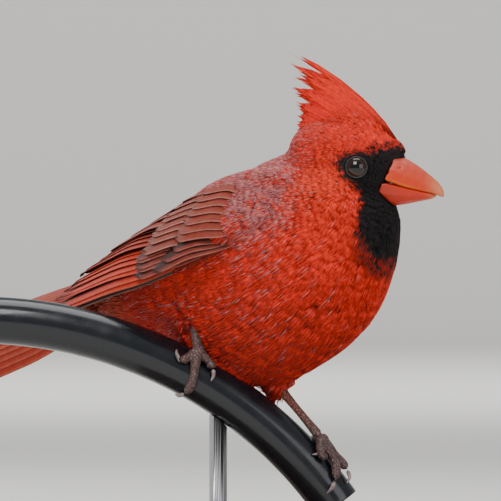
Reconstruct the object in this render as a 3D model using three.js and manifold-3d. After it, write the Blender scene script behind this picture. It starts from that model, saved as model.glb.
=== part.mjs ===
// Northern cardinal, adult male, life size, gripping a short cut length of curved steel pole
// that one short rod holds over a plain flat base. Millimetres, +Z up, +X the way the bird
// looks, +Y away from its right side. The origin is the centre of the base's underside.
import * as THREE from "three";
import { mergeVertices } from "three/addons/utils/BufferGeometryUtils.js";
import Module from "manifold-3d";

const wasm = await Module();
wasm.setup();

// Driving dimensions
const GAP = 0.3; // clearance between neighbouring pieces
const VANE = 0.55; // thickness of a feather's vane
const DEG = Math.PI / 180;

const BODY_AT = [13.3, 0, 94]; // middle of the torso
const BODY_YAW = -30; // degrees, the breast turned towards -Y
const HEAD_AT = [33.3, -12, 130.7]; // middle of the head
const HEAD_YAW = -12;

const POLE_R = 7.9; // outer radius of the steel pole
const POLE_ARC_R = 147; // radius of the bend it was cut from
const POLE_ARC_AT = [-89, -68]; // middle of that bend, X and Z
const POLE_FROM = 0; // degrees from the top of the bend
const POLE_TO = 54.5;

const WING_LENGTH = 99; // along the folded wing, shoulder to tip
const TAIL_LENGTH = 100;
const TAIL_PAIRS = 5;
const EYE_R = 4.1;
const SHANK_R = 1.55;
const TOE_R = 1.35;

const BASE_SIZE = [118, 84, 7]; // length, width and thickness of the stand's base
const BASE_CORNER = 14;
const ROD_R = 3;
const ROD_AT = 33; // degrees along the pole's bend

// Frames: the torso, wings and tail are shaped in the body frame, the face and crest in the
// head frame. In both, x points forward, y to the bird's left and z up.
function frameAt(place, yaw) {
  return new THREE.Matrix4()
    .makeTranslation(...place)
    .multiply(new THREE.Matrix4().makeRotationZ(yaw * DEG));
}
const bodyFrame = frameAt(BODY_AT, BODY_YAW);
const headFrame = frameAt(HEAD_AT, HEAD_YAW);

const vec = (x, y, z) => new THREE.Vector3(x, y, z);
const mix = THREE.MathUtils.lerp;
const clamp = THREE.MathUtils.clamp;

// Solids
function solid(geometry) {
  const bare = geometry.clone();
  bare.deleteAttribute("normal");
  bare.deleteAttribute("uv");
  const merged = mergeVertices(bare, 1e-4);
  return new wasm.Manifold(
    new wasm.Mesh({
      numProp: 3,
      vertProperties: new Float32Array(merged.attributes.position.array),
      triVerts: new Uint32Array(merged.index.array),
    }),
  );
}

function largest(made) {
  return made.decompose().reduce((a, b) => (b.volume() > a.volume() ? b : a));
}

function join(pieces) {
  return largest(pieces.reduce((a, b) => a.add(b)));
}

function geometryOf(made) {
  const mesh = made.getMesh();
  return new THREE.BufferGeometry()
    .setAttribute("position", new THREE.BufferAttribute(mesh.vertProperties, 3))
    .setIndex(new THREE.BufferAttribute(mesh.triVerts, 1));
}

// A round form: a sphere's parallels become rings along a line of stations. A station gives
// the ring's middle (x, y, z), its half width (side), its reach up and down, and its lean.
function form(stations, { around = 32, along = 24, cap = 0.16, grow = 0, frame }) {
  const line = (pick) =>
    new THREE.CatmullRomCurve3(stations.map(pick), false, "catmullrom", 0.5);
  const middle = line((s) => vec(s.x, s.y ?? 0, s.z));
  const reach = line((s) => vec(s.side, s.up, s.down));
  const lean = line((s) => vec(s.pitch, s.yaw ?? 0, 0));
  const ball = new THREE.SphereGeometry(1, around, along);
  const place = ball.attributes.position;
  for (let i = 0; i < place.count; i++) {
    const t = Math.acos(clamp(place.getY(i), -1, 1)) / Math.PI;
    const turn = Math.atan2(place.getZ(i), place.getX(i));
    const edge = Math.min(t, 1 - t) / cap;
    const round = edge < 1 ? Math.sqrt(Math.max(0, 1 - (1 - edge) ** 2)) : 1;
    const at = middle.getPoint(t);
    const size = reach.getPoint(t);
    const tip = lean.getPoint(t);
    const forward = vec(1, 0, 0)
      .applyAxisAngle(vec(0, 1, 0), -tip.x * DEG)
      .applyAxisAngle(vec(0, 0, 1), tip.y * DEG);
    const left = vec(0, 1, 0).applyAxisAngle(vec(0, 0, 1), tip.y * DEG);
    const up = forward.clone().cross(left);
    const height = Math.sin(turn) > 0 ? size.y : size.z;
    const ends = grow * clamp((t - 0.5) * 2, -1, 1) ** 5;
    at.addScaledVector(left, Math.cos(turn) * (size.x + grow) * round)
      .addScaledVector(up, Math.sin(turn) * (height + grow) * round)
      .addScaledVector(forward, ends);
    place.setXYZ(i, at.x, at.y, at.z);
  }
  return frame ? ball.applyMatrix4(frame) : ball;
}

const TORSO = [
  { x: -74, z: -9, pitch: 18, side: 8, up: 5, down: 6 },
  { x: -60, z: -6, pitch: 20, side: 13, up: 9, down: 12 },
  { x: -44, z: -3, pitch: 24, side: 20, up: 16, down: 23 },
  { x: -26, z: 0, pitch: 28, side: 26, up: 25, down: 41.5 },
  { x: -9, z: 4, pitch: 34, side: 30, up: 30, down: 40.5 },
  { x: 5.5, z: 11, pitch: 42, side: 30, up: 30, down: 37 },
  { x: 16, z: 21, pitch: 50, side: 27, up: 27, down: 29.5 },
  { x: 22, z: 31, pitch: 58, side: 20.5, up: 20, down: 23 },
  { x: 25, z: 39, pitch: 66, side: 14, up: 14, down: 15 },
];

const HEAD = [
  { x: -19, z: 0, pitch: 20, side: 9, up: 9, down: 9 },
  { x: -13, z: 1, pitch: 12, side: 12.5, up: 12, down: 13 },
  { x: -4, z: 1, pitch: 4, side: 14.2, up: 14.5, down: 15.5 },
  { x: 5, z: 0, pitch: -4, side: 13.6, up: 14.5, down: 16 },
  { x: 12, z: -1, pitch: -8, side: 11, up: 12, down: 13.5 },
  { x: 18, z: -1.5, pitch: -12, side: 6.6, up: 7.5, down: 7.5 },
];

// The feathered upper leg that shows in front of the pole.
const THIGH = [
  { x: -12, y: 5, z: -20, pitch: -90, side: 9, up: 9, down: 12 },
  { x: -9.5, y: 4, z: -28.5, pitch: -86, side: 6.6, up: 7.5, down: 9 },
  { x: -6.4, y: 3, z: -34.5, pitch: -76, side: 3.4, up: 3.8, down: 4.4 },
  { x: -4.6, y: 2.3, z: -38, pitch: -66, side: 2.1, up: 2.1, down: 2.1 },
];

// Upper and lower halves of the bill, in the head frame, back to tip.
const BILL_UPPER = [
  { x: 9, z: -4, pitch: -18, side: 6.3, up: 8.5, down: 1 },
  { x: 15, z: -5, pitch: -20, side: 6.2, up: 8.6, down: 0.9 },
  { x: 20.5, z: -7, pitch: -20, side: 5.4, up: 7.9, down: 0.7 },
  { x: 26, z: -8.4, pitch: -20, side: 3.7, up: 5.7, down: 0.5 },
  { x: 30.5, z: -9.4, pitch: -26, side: 1.9, up: 3.1, down: 0.5 },
  { x: 33.3, z: -10.9, pitch: -40, side: 0.5, up: 0.7, down: 0.4 },
];
const BILL_LOWER = [
  { x: 8, z: -6, pitch: -10, side: 6.6, up: 0.6, down: 8.6 },
  { x: 14, z: -6.6, pitch: -8, side: 6.5, up: 0.6, down: 7.4 },
  { x: 20, z: -8, pitch: -6, side: 5.2, up: 0.6, down: 5.4 },
  { x: 26, z: -9.3, pitch: -6, side: 3.2, up: 0.4, down: 2.8 },
  { x: 31, z: -10.4, pitch: -8, side: 1, up: 0.3, down: 0.8 },
];

const inBody = (x, y, z) => vec(x, y, z).applyMatrix4(bodyFrame);
const inHead = (x, y, z) => vec(x, y, z).applyMatrix4(headFrame);

const torsoForm = (grow) =>
  solid(form(TORSO, { around: 28, along: 20, grow, frame: bodyFrame }));
const headForm = (grow) =>
  solid(form(HEAD, { around: 24, along: 13, cap: 0.3, grow, frame: headFrame }));
const bodyForm = (grow) => torsoForm(grow).add(headForm(grow));

// A round rod along a bent line, with a radius at each point; its two ends are rounded.
function limb(points, radii, { around = 8, along = 12, cap = 0.12, grow = 0 } = {}) {
  const line = new THREE.CatmullRomCurve3(points, false, "catmullrom", 0.5);
  const size = new THREE.CatmullRomCurve3(radii.map((r) => vec(r, 0, 0)), false, "catmullrom", 0.5);
  const ball = new THREE.SphereGeometry(1, around, along);
  const place = ball.attributes.position;
  for (let i = 0; i < place.count; i++) {
    const t = Math.acos(clamp(place.getY(i), -1, 1)) / Math.PI;
    const turn = Math.atan2(place.getZ(i), place.getX(i));
    const edge = Math.min(t, 1 - t) / cap;
    const round = edge < 1 ? Math.sqrt(Math.max(0, 1 - (1 - edge) ** 2)) : 1;
    const forward = line.getTangent(t);
    const side = vec(0.13, -0.96, 0.25).cross(forward).normalize();
    const up = forward.clone().cross(side);
    const radius = (size.getPoint(t).x + grow) * round;
    const at = line
      .getPoint(t)
      .addScaledVector(side, Math.cos(turn) * radius)
      .addScaledVector(up, Math.sin(turn) * radius)
      .addScaledVector(forward, grow * clamp((t - 0.5) * 2, -1, 1) ** 5);
    place.setXYZ(i, at.x, at.y, at.z);
  }
  return solid(ball);
}

// A flat vane from rings of points: each ring holds the outer and the inner face's points
// from edge to edge, and both faces are split along the same diagonals.
function vane(rings) {
  const across = rings[0].outer.length;
  const points = rings.flatMap((r) => [...r.outer, ...r.inner]);
  const at = (ring, face, j) => ring * 2 * across + face * across + j;
  const faces = [];
  const quad = (a, b, c, d) => faces.push([a, b, c], [a, c, d]);
  const last = rings.length - 1;
  for (let i = 0; i < last; i++) {
    for (let j = 0; j < across - 1; j++) {
      quad(at(i, 0, j), at(i + 1, 0, j), at(i + 1, 0, j + 1), at(i, 0, j + 1));
      const [a, b, c, d] = [at(i, 1, j), at(i + 1, 1, j), at(i + 1, 1, j + 1), at(i, 1, j + 1)];
      faces.push([c, b, a], [d, c, a]);
    }
    quad(at(i, 0, 0), at(i, 1, 0), at(i + 1, 1, 0), at(i + 1, 0, 0));
    const e = across - 1;
    quad(at(i, 0, e), at(i + 1, 0, e), at(i + 1, 1, e), at(i, 1, e));
  }
  for (let j = 0; j < across - 1; j++) {
    quad(at(0, 0, j), at(0, 0, j + 1), at(0, 1, j + 1), at(0, 1, j));
    quad(at(last, 0, j), at(last, 1, j), at(last, 1, j + 1), at(last, 0, j + 1));
  }
  const geometry = new THREE.BufferGeometry()
    .setAttribute("position", new THREE.Float32BufferAttribute(points.flatMap((p) => p.toArray()), 3))
    .setIndex(faces.flat());
  const made = solid(geometry);
  if (made.volume() > 0) return made;
  return solid(geometry.setIndex(faces.map(([a, b, c]) => [a, c, b]).flat()));
}

// A feather's half width along its length, as a share of its widest: narrow root, long
// parallel edges, rounded tip.
const FEATHER_CUT = [
  [0, 0.6],
  [0.4, 1],
  [0.86, 0.9],
  [1, 0.36],
];

// The same for coverts, which are broad almost to the tip.
const COVERT_CUT = [
  [0, 0.7],
  [0.6, 1],
  [1, 0.45],
];

// A feather on a curved sheet. sheet(p, q, h) gives the point p along it, q across it and h
// above it. root and tip are [p, q, h]; slope tilts the vane so that it tucks under the next.
function feather(sheet, { root, tip, width, slope, cut, thick = VANE }) {
  const run = [tip[0] - root[0], tip[1] - root[1]];
  const length = Math.hypot(...run);
  const along = [run[0] / length, run[1] / length];
  return vane(
    cut.map(([s, share]) => {
      const half = (width / 2) * share;
      const ring = { outer: [], inner: [] };
      for (const j of [-1, 0, 1]) {
        const p = mix(root[0], tip[0], s) - along[1] * j * half;
        const q = mix(root[1], tip[1], s) + along[0] * j * half;
        const h = mix(root[2], tip[2], s) - slope * j * half;
        ring.outer.push(sheet(p, q, h + thick / 2));
        ring.inner.push(sheet(p, q, h - thick / 2));
      }
      return ring;
    }),
  );
}

// Wing: a sheet curved over the flank. p runs from the shoulder to the wing tip, q from the
// lower edge up to the back, h out from the body. side is -1 for the right wing, 1 for the left.
const WING_LINE = new THREE.CatmullRomCurve3([
  vec(6, 30.5, 20),
  vec(-16, 30.5, 15.5),
  vec(-41, 23.5, 7),
  vec(-66, 15.5, -2.5),
  vec(-88, 9.5, -11.5),
]);
function wingSheet(side) {
  return (p, q, h) => {
    const s = clamp(p / WING_LENGTH, 0, 1);
    const at = WING_LINE.getPointAt(s);
    const along = WING_LINE.getTangentAt(s);
    at.addScaledVector(along, p - s * WING_LENGTH);
    const lean = mix(20, 46, s) * DEG;
    const round = mix(26, 17, s);
    const up = vec(0, -Math.sin(lean), Math.cos(lean));
    const out = along.clone().cross(up).normalize();
    if (out.y < 0) out.negate();
    const turn = q / round;
    at.addScaledVector(out, (round + h) * Math.cos(turn) - round);
    at.addScaledVector(up, (round + h) * Math.sin(turn));
    return inBody(at.x, side * at.y, at.z);
  };
}

// Rows of the folded wing, outermost layer last: primaries, secondaries, tertials, primary
// coverts, greater coverts, alula and lesser coverts. Each row's feathers run evenly from its
// first root and tip to its last.
const WING_ROWS = [
  { count: 6, root: [[34, -9], [34, 3]], tip: [[94, -3.4], [87, 7]], width: 6, h: 0 },
  { count: 4, root: [[32, 4], [30, 14]], tip: [[84, 8.5], [72, 16]], width: 7, h: 1.2 },
  { count: 3, root: [[26, 11], [18, 19]], tip: [[69, 13], [48, 20]], width: 8.6, h: 2.2 },
  { count: 2, root: [[20, -9.5], [21, -5]], tip: [[46, -8.2], [45, -4]], width: 5.6, h: 2, short: true },
  { count: 5, root: [[14, -4], [10, 16]], tip: [[43, -1.6], [34, 18]], width: 7, h: 3.2, short: true },
  { count: 1, root: [[10, -8.6], [10, -8.6]], tip: [[36, -9.4], [36, -9.4]], width: 4.4, h: 3.6, short: true },
  { count: 4, root: [[2, -5], [0, 15]], tip: [[20, -4.4], [15, 16]], width: 8, h: 4.2, short: true },
];
const STEEPEST_SHINGLE = 0.62;
// The padded shoulder under the rows: p where it begins and ends, q at its middle, half its
// height, its thickness outwards and inwards, how far it is sunk and how it narrows.
const PAD = { from: -3, to: 40, middle: 4, half: 14.5, out: 3.8, in: 7, sunk: 0.6, taper: 0.86 };

function wingPad(sheet) {
  const ball = new THREE.SphereGeometry(1, 14, 8);
  const place = ball.attributes.position;
  for (let i = 0; i < place.count; i++) {
    const t = (1 - place.getY(i)) / 2;
    const turn = Math.atan2(place.getZ(i), place.getX(i));
    const ring = Math.sqrt(Math.max(0, 1 - place.getY(i) ** 2)) ** 0.7;
    const thick = Math.sin(turn) > 0 ? PAD.out : PAD.in;
    const q = PAD.middle + Math.cos(turn) * PAD.half * mix(1, PAD.taper, t) * ring;
    const at = sheet(mix(PAD.from, PAD.to, t), q, Math.sin(turn) * thick * ring - PAD.sunk);
    place.setXYZ(i, at.x, at.y, at.z);
  }
  return oriented(ball);
}

function oriented(geometry) {
  const made = solid(geometry);
  if (made.volume() > 0) return made;
  const index = [...geometry.index.array];
  for (let i = 0; i < index.length; i += 3) [index[i + 1], index[i + 2]] = [index[i + 2], index[i + 1]];
  return solid(geometry.clone().setIndex(index));
}

function wing(side) {
  const sheet = wingSheet(side);
  const pieces = [wingPad(sheet)];
  for (const row of WING_ROWS) {
    for (let i = 0; i < row.count; i++) {
      const k = row.count > 1 ? i / (row.count - 1) : 0;
      const ends = (pair) => [mix(pair[0][0], pair[1][0], k), mix(pair[0][1], pair[1][1], k)];
      const apart = Math.abs(row.root[1][1] - row.root[0][1]) / Math.max(1, row.count - 1);
      const tipApart = Math.abs(row.tip[1][1] - row.tip[0][1]) / Math.max(1, row.count - 1);
      const slope = row.count > 1 ? clamp((VANE + GAP) / Math.min(apart, tipApart), 0, STEEPEST_SHINGLE) : 0;
      pieces.push(
        feather(sheet, {
          root: [...ends(row.root), row.h],
          tip: [...ends(row.tip), row.h],
          width: row.width,
          slope,
          cut: row.short ? COVERT_CUT : FEATHER_CUT,
        }),
      );
    }
  }
  const out = vec(0, side, 0).transformDirection(bodyFrame);
  const middle = out.dot(vec(...BODY_AT)) + GAP / 2;
  const clear = join(pieces).subtract(bodyForm(GAP)).subtract(tail(1.5 * GAP));
  return largest(clear.trimByPlane(out.toArray(), middle));
}

// Tail: a sheet behind the torso, rolled a little so that its upper face turns to the right.
const TAIL_AT = vec(-72, 0, -6.6);
const TAIL_DROP = 21; // degrees below level
const TAIL_ROLL = 50;
const TAIL_DROOP = 0.022; // how the outer feathers fall away, per millimetre
const TAIL_FAN = [2.2, 2.8]; // spacing of the feathers at the root and at the tip
const TAIL_WIDTH = [8, 10.5];
const TAIL_RISE = 0.0006; // upward curve along the tail, per millimetre
const TAIL_CORE = { at: 5, long: 9, wide: 8.5, thick: 3.4 }; // the rump under the feathers' roots
function tailSheet(p, q, h) {
  const along = vec(-Math.cos(TAIL_DROP * DEG), 0, -Math.sin(TAIL_DROP * DEG));
  const left = vec(0, 1, 0).applyAxisAngle(along, -TAIL_ROLL * DEG);
  const up = left.clone().cross(along).normalize();
  if (up.z < 0) up.negate();
  const at = TAIL_AT.clone()
    .addScaledVector(along, p)
    .addScaledVector(left, q)
    .addScaledVector(up, h - TAIL_DROOP * q * q + TAIL_RISE * p * p);
  return inBody(at.x, at.y, at.z);
}

function tail(grow) {
  const core = new THREE.SphereGeometry(1, 12, 8);
  const place = core.attributes.position;
  for (let i = 0; i < place.count; i++) {
    const p = TAIL_CORE.at + place.getY(i) * TAIL_CORE.long;
    const q = place.getX(i) * (TAIL_CORE.wide + grow);
    const at = tailSheet(p, q, place.getZ(i) * (TAIL_CORE.thick + grow));
    place.setXYZ(i, at.x, at.y, at.z);
  }
  const pieces = [oriented(core)];
  for (const side of [-1, 1]) {
    for (let k = 0; k < TAIL_PAIRS; k++) {
      const order = k + (side > 0 ? 0.5 : 0.15);
      const shape = COVERT_CUT.map(([s, share]) => [s, share * mix(...TAIL_WIDTH, s) + 2 * grow]);
      const spread = mix(...TAIL_FAN, 0.5);
      pieces.push(
        feather(tailSheet, {
          root: [3, side * order * TAIL_FAN[0], side > 0 ? 0.5 : 0],
          tip: [TAIL_LENGTH - 1.2 * Math.abs(k - 2), side * order * TAIL_FAN[1], side > 0 ? 1.4 : 0],
          width: 1,
          slope: (-side * (VANE + GAP)) / spread,
          cut: shape,
          thick: VANE + 2 * grow,
        }),
      );
    }
  }
  return largest(join(pieces).subtract(bodyForm(GAP)));
}

// Crest: tapered feathers from the crown, swept up and back, over a low core.
const CREST_CORE = [
  { x: 5, z: 7, pitch: 112, side: 10, up: 12, down: 10 },
  { x: 1, z: 13, pitch: 118, side: 7.4, up: 13, down: 9.4 },
  { x: -3, z: 18, pitch: 122, side: 4.6, up: 10, down: 7.6 },
  { x: -6, z: 22.5, pitch: 124, side: 2.4, up: 6, down: 5 },
  { x: -8.5, z: 26, pitch: 126, side: 1, up: 2.4, down: 2.4 },
];
// The line of feather tips down the back of the crest, and the line of roots over the crown.
const CREST_TIPS = new THREE.CatmullRomCurve3([
  vec(-16.5, 0, 36.8),
  vec(-18.8, 0, 33.5),
  vec(-19.5, 0, 28.6),
  vec(-18.5, 0, 23),
  vec(-17.3, 0, 16.5),
  vec(-17.8, 0, 9.5),
]);
const CREST_ROOTS = new THREE.CatmullRomCurve3([
  vec(18.5, 0, 6.5),
  vec(15.5, 0, 9.5),
  vec(8, 0, 12),
  vec(0, 0, 13),
  vec(-8, 0, 11),
  vec(-13, 0, 7),
]);
// Each feather bends through a point of this line.
const CREST_KNEES = new THREE.CatmullRomCurve3([
  vec(4.6, 0, 24.4),
  vec(-2.4, 0, 23.6),
  vec(-7, 0, 22),
  vec(-11, 0, 16.5),
  vec(-15, 0, 9.5),
]);
const CREST_ROWS = [
  { count: 8, spread: 0, from: 0, to: 1, reach: 1 },
  { count: 6, spread: 3.6, from: 0.03, to: 0.97, reach: 0.97 },
  { count: 5, spread: 6.8, from: 0.06, to: 0.94, reach: 0.8 },
];

const LOCK = { width: 6.4, thick: 1, crown: 0.35, sunk: 1.2 };
const LOCK_CUT = [
  [0, 0.8],
  [0.6, 1],
  [1, 0.14],
];

function lock(root, knee, tip, out) {
  const line = new THREE.QuadraticBezierCurve3(root, knee, tip);
  return vane(
    LOCK_CUT.map(([s, share]) => {
      const at = line.getPoint(s);
      const along = line.getTangent(s);
      const face = out.clone().addScaledVector(along, -out.dot(along)).normalize();
      const across = along.clone().cross(face).normalize();
      const half = (LOCK.width / 2) * share;
      const deep = (LOCK.thick / 2) * mix(1, 0.5, s);
      const ring = { outer: [], inner: [] };
      for (const j of [-1, 0, 1]) {
        const spot = at.clone().addScaledVector(across, j * half);
        const crown = (1 - j * j) * LOCK.crown;
        ring.outer.push(spot.clone().addScaledVector(face, deep + crown));
        ring.inner.push(spot.clone().addScaledVector(face, -deep));
      }
      return ring;
    }),
  );
}

function crest() {
  const pieces = [solid(form(CREST_CORE, { around: 12, along: 8, cap: 0.3, frame: headFrame }))];
  for (const row of CREST_ROWS) {
    for (let i = 0; i < row.count; i++) {
      const k = mix(row.from, row.to, i / (row.count - 1));
      const root = CREST_ROOTS.getPoint(k);
      const end = CREST_TIPS.getPoint(k);
      const tip = root.clone().lerp(end, row.reach);
      const knee = root.clone().lerp(CREST_KNEES.getPoint(k), row.reach);
      for (const side of row.spread ? [-1, 1] : [1]) {
        const wide = row.spread * mix(0.75, 1, Math.sin(k * Math.PI));
        const spot = (v, share, dip) => inHead(v.x, side * wide * share, v.z - dip);
        const out = vec(0, side, 0.25).transformDirection(headFrame);
        pieces.push(lock(spot(root, 1, LOCK.sunk), spot(knee, 0.8, 0), spot(tip, 0.25, 0), out));
      }
    }
  }
  return largest(join(pieces).subtract(headForm(GAP)).subtract(torsoForm(GAP)));
}

// Eyes sit in sockets, each with a raised rim for its lids.
const EYE_AT = [5.9, 10.5, -1.2];
const EYE_OUT = vec(0.16, 1, 0.06).normalize();
const LID_RING = { radius: 3.75, thick: 0.75, out: 2.3 };
function eyeBall(side, grow) {
  const at = inHead(EYE_AT[0], side * EYE_AT[1], EYE_AT[2]);
  return solid(new THREE.SphereGeometry(EYE_R + grow, 14, 9).translate(at.x, at.y, at.z));
}
function eyeRim(side) {
  const out = vec(EYE_OUT.x, side * EYE_OUT.y, EYE_OUT.z).transformDirection(headFrame);
  const at = inHead(EYE_AT[0], side * EYE_AT[1], EYE_AT[2]).addScaledVector(out, LID_RING.out);
  const turn = new THREE.Quaternion().setFromUnitVectors(vec(0, 0, 1), out);
  const ring = new THREE.TorusGeometry(LID_RING.radius, LID_RING.thick, 5, 14).applyQuaternion(turn);
  return solid(ring.translate(at.x, at.y, at.z));
}

// Nostril pits on the sides of the upper bill's base.
const NOSTRIL_AT = [19.2, 4.6, -1.2];
const NOSTRIL_R = 0.7;
function nostril(side) {
  const at = inHead(NOSTRIL_AT[0], side * NOSTRIL_AT[1], NOSTRIL_AT[2]);
  return solid(new THREE.SphereGeometry(NOSTRIL_R, 8, 6).translate(at.x, at.y, at.z));
}

// Points round the pole: angle along its bend, turn round it (0 on top, 90 on the -Y side),
// h above its surface.
function poleMiddle(angle) {
  return vec(
    POLE_ARC_AT[0] + POLE_ARC_R * Math.sin(angle * DEG),
    0,
    POLE_ARC_AT[1] + POLE_ARC_R * Math.cos(angle * DEG),
  );
}
function onPole(angle, turn, h) {
  const out = vec(Math.sin(angle * DEG), 0, Math.cos(angle * DEG)).multiplyScalar(Math.cos(turn * DEG));
  out.y = -Math.sin(turn * DEG);
  return poleMiddle(angle).addScaledVector(out, POLE_R + h);
}
const poleLine = new THREE.CatmullRomCurve3(
  Array.from({ length: 13 }, (_, i) => poleMiddle(mix(POLE_FROM, POLE_TO, i / 12))),
);
function pole(grow) {
  const shape = new THREE.Shape().absarc(0, 0, POLE_R + grow, 0, 2 * Math.PI);
  return solid(new THREE.ExtrudeGeometry(shape, { steps: 15, curveSegments: 12, bevelEnabled: false, extrudePath: poleLine }));
}

// Feet. A toe is a list of [angle along the bend, turn round the pole]; pads bulge at joints.
const TOE_H = TOE_R + GAP + 0.35; // toe's middle over the pole, clear of its pads
const TOES = {
  right: {
    ankle: [28.2, 38, 3],
    toes: {
      middle: { way: [[28.6, 62], [29.3, 88], [29.6, 110], [29.3, 130]], claw: [[28.8, 146], [28.1, 165]] },
      inner: { way: [[27.8, 52], [27.4, 62], [27.2, 70], [27.2, 77]], claw: [[26.1, 66], [25.7, 46]] },
      outer: { way: [[29, 40], [29.9, 44], [30.5, 50], [30.9, 56]], claw: [[31.4, 66], [31.5, 82]] },
      hind: { way: [[28, 10], [27.8, -16], [27.6, -46], [27.4, -76]], claw: [[27.2, -96], [27, -118]] },
    },
  },
  left: {
    ankle: [47, 22, 2.9],
    toes: {
      middle: { way: [[48.2, 22], [49.3, 26], [50.7, 42], [51.8, 64]], claw: [[52.3, 80], [52.4, 96]] },
      inner: { way: [[47.5, 36], [48, 46], [48.5, 48], [48.8, 40]], claw: [[48, 50], [47.3, 63]] },
      outer: { way: [[48.1, 0], [49.4, -4], [50.7, 2], [51.7, 10]], claw: [[52.6, 22], [53, 38]] },
      hind: { way: [[46.7, -10], [46.2, -38], [45.7, -68], [45.4, -90]], claw: [[45.2, -110], [45.2, -132]] },
    },
  },
};
const TOE_PADS = [1.35, 1.0, 1.25, 0.95]; // shares of the toe's radius, root to tip
const TOE_ROOT_R = 1.9;
const ANKLE_R = 2.3;
const CLAW_RADII = [0.95, 0.7, 0.16];
const CLAW_OVER = [1.7, 0.5]; // the claw's bend and tip over the pole

function anklePoint(foot) {
  const [angle, turn, h] = foot.ankle;
  return onPole(angle, turn, h);
}
function toeLine(foot, toe) {
  const start = anklePoint(foot);
  return [start, ...toe.way.map(([angle, turn]) => onPole(angle, turn, TOE_H))];
}
function footForm(foot, grow) {
  const pieces = Object.values(foot.toes).map((toe) =>
    limb(toeLine(foot, toe), [TOE_ROOT_R, ...TOE_PADS.map((k) => TOE_R * k)], { around: 7, along: 9, grow }),
  );
  const at = anklePoint(foot);
  pieces.push(solid(new THREE.SphereGeometry(ANKLE_R + grow, 10, 8).translate(at.x, at.y, at.z)));
  return pieces.reduce((a, b) => a.add(b));
}
function clawForm(toe) {
  const [angle, turn] = toe.way[toe.way.length - 1];
  const root = onPole(angle, turn, TOE_H);
  const [bend, tip] = toe.claw.map((at, i) => onPole(...at, CLAW_OVER[i]));
  return limb([root, bend, tip], CLAW_RADII, { around: 6, along: 6, cap: 0.08 });
}

// Shank: from the feathered leg down to the foot.
const KNEES = {
  right: vec(-19, 1, 86),
  left: inBody(-4.6, 2.3, -36.5),
};
function shankForm(name, grow) {
  const at = anklePoint(TOES[name]);
  const knee = KNEES[name];
  const middle = knee.clone().lerp(at, 0.5);
  return limb([knee, middle, at], [SHANK_R * 1.25, SHANK_R * 0.9, SHANK_R * 1.2], {
    around: 10,
    along: 8,
    grow,
  });
}

const group = new THREE.Group();
function node(name, made, colour, roughness = 0.8, metalness = 0) {
  const look = new THREE.MeshStandardMaterial({ color: colour, roughness, metalness });
  const mesh = new THREE.Mesh(geometryOf(made), look);
  mesh.name = name;
  group.add(mesh);
}

const RED = 0xc22a18;
const WING_RED = 0xa84a3a;
const HORN = 0x6f6460;
const SKIN = 0x9a8580;

// Perch and stand
const rodTop = poleMiddle(ROD_AT);
const perch = pole(0);
node("perch", perch, 0x15171a, 0.3, 0.4);
const rod = solid(
  new THREE.CylinderGeometry(ROD_R, ROD_R, rodTop.z - BASE_SIZE[2] - GAP, 24)
    .rotateX(Math.PI / 2)
    .translate(rodTop.x, 0, (rodTop.z + BASE_SIZE[2] + GAP) / 2),
);
node("stand_rod", largest(rod.subtract(pole(GAP))), 0x8f9296, 0.35, 0.9);
function plate() {
  const [length, width, thick] = BASE_SIZE;
  const x = length / 2;
  const y = width / 2;
  const r = BASE_CORNER;
  const shape = new THREE.Shape();
  shape.moveTo(-x + r, -y);
  shape.absarc(x - r, -y + r, r, -Math.PI / 2, 0);
  shape.absarc(x - r, y - r, r, 0, Math.PI / 2);
  shape.absarc(-x + r, y - r, r, Math.PI / 2, Math.PI);
  shape.absarc(-x + r, -y + r, r, Math.PI, 1.5 * Math.PI);
  return solid(new THREE.ExtrudeGeometry(shape, { depth: thick, curveSegments: 8, bevelEnabled: false }));
}
node("stand_base", plate(), 0x3a2a20, 0.5);

// Body, parted at the neck and below the head by thin cuts
const socket = (side) => eyeBall(side, GAP);
const whole = bodyForm(0).subtract(pole(GAP));
const NECK_CUT = { at: vec(28.7, 0, 113), tilt: 59.5 };
const HEAD_CUT = { at: vec(30, 0, 126), tilt: 59.5 };
function above(made, cut, shift) {
  const out = vec(Math.cos(cut.tilt * DEG), 0, Math.sin(cut.tilt * DEG));
  return made.trimByPlane(out.toArray(), out.dot(cut.at) + shift);
}
function below(made, cut, shift) {
  const out = vec(-Math.cos(cut.tilt * DEG), 0, -Math.sin(cut.tilt * DEG));
  return made.trimByPlane(out.toArray(), out.dot(cut.at) + shift);
}
const legs = shankForm("right", GAP).add(shankForm("left", GAP));
const thigh = solid(form(THIGH, { around: 12, along: 8, cap: 0.25, frame: bodyFrame }));
node("torso", largest(below(whole, NECK_CUT, GAP / 2).subtract(legs)), RED);
node("neck", largest(below(above(whole, NECK_CUT, GAP / 2), HEAD_CUT, GAP / 2)), RED);
const bare = largest(above(whole, HEAD_CUT, GAP / 2));
const faced = [-1, 1].reduce((made, side) => made.add(eyeRim(side)).subtract(socket(side)), bare);
node("head", largest(faced), RED);
for (const [side, name] of [[-1, "right"], [1, "left"]]) {
  node("eye_" + name, eyeBall(side, 0), 0x1a120e, 0.1);
}
node("thigh_left", largest(thigh.subtract(bodyForm(GAP)).subtract(shankForm("left", GAP)).subtract(pole(GAP))), RED);

// Bill
const upper = (grow) => solid(form(BILL_UPPER, { around: 14, along: 12, cap: 0.12, grow, frame: headFrame }));
const lower = solid(form(BILL_LOWER, { around: 14, along: 10, cap: 0.12, frame: headFrame }));
const upperBill = [-1, 1].reduce((made, side) => made.subtract(nostril(side)), upper(0).subtract(bodyForm(GAP)));
node("bill_upper", largest(upperBill), 0xe0654a, 0.35);
node("bill_lower", largest(lower.subtract(upper(GAP)).subtract(bodyForm(GAP))), 0xe05a34, 0.35);

node("crest", crest(), 0xc8301c);
for (const [side, name] of [[-1, "right"], [1, "left"]]) node("wing_" + name, wing(side), WING_RED);
node("tail", tail(0), 0xa8402c);

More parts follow.
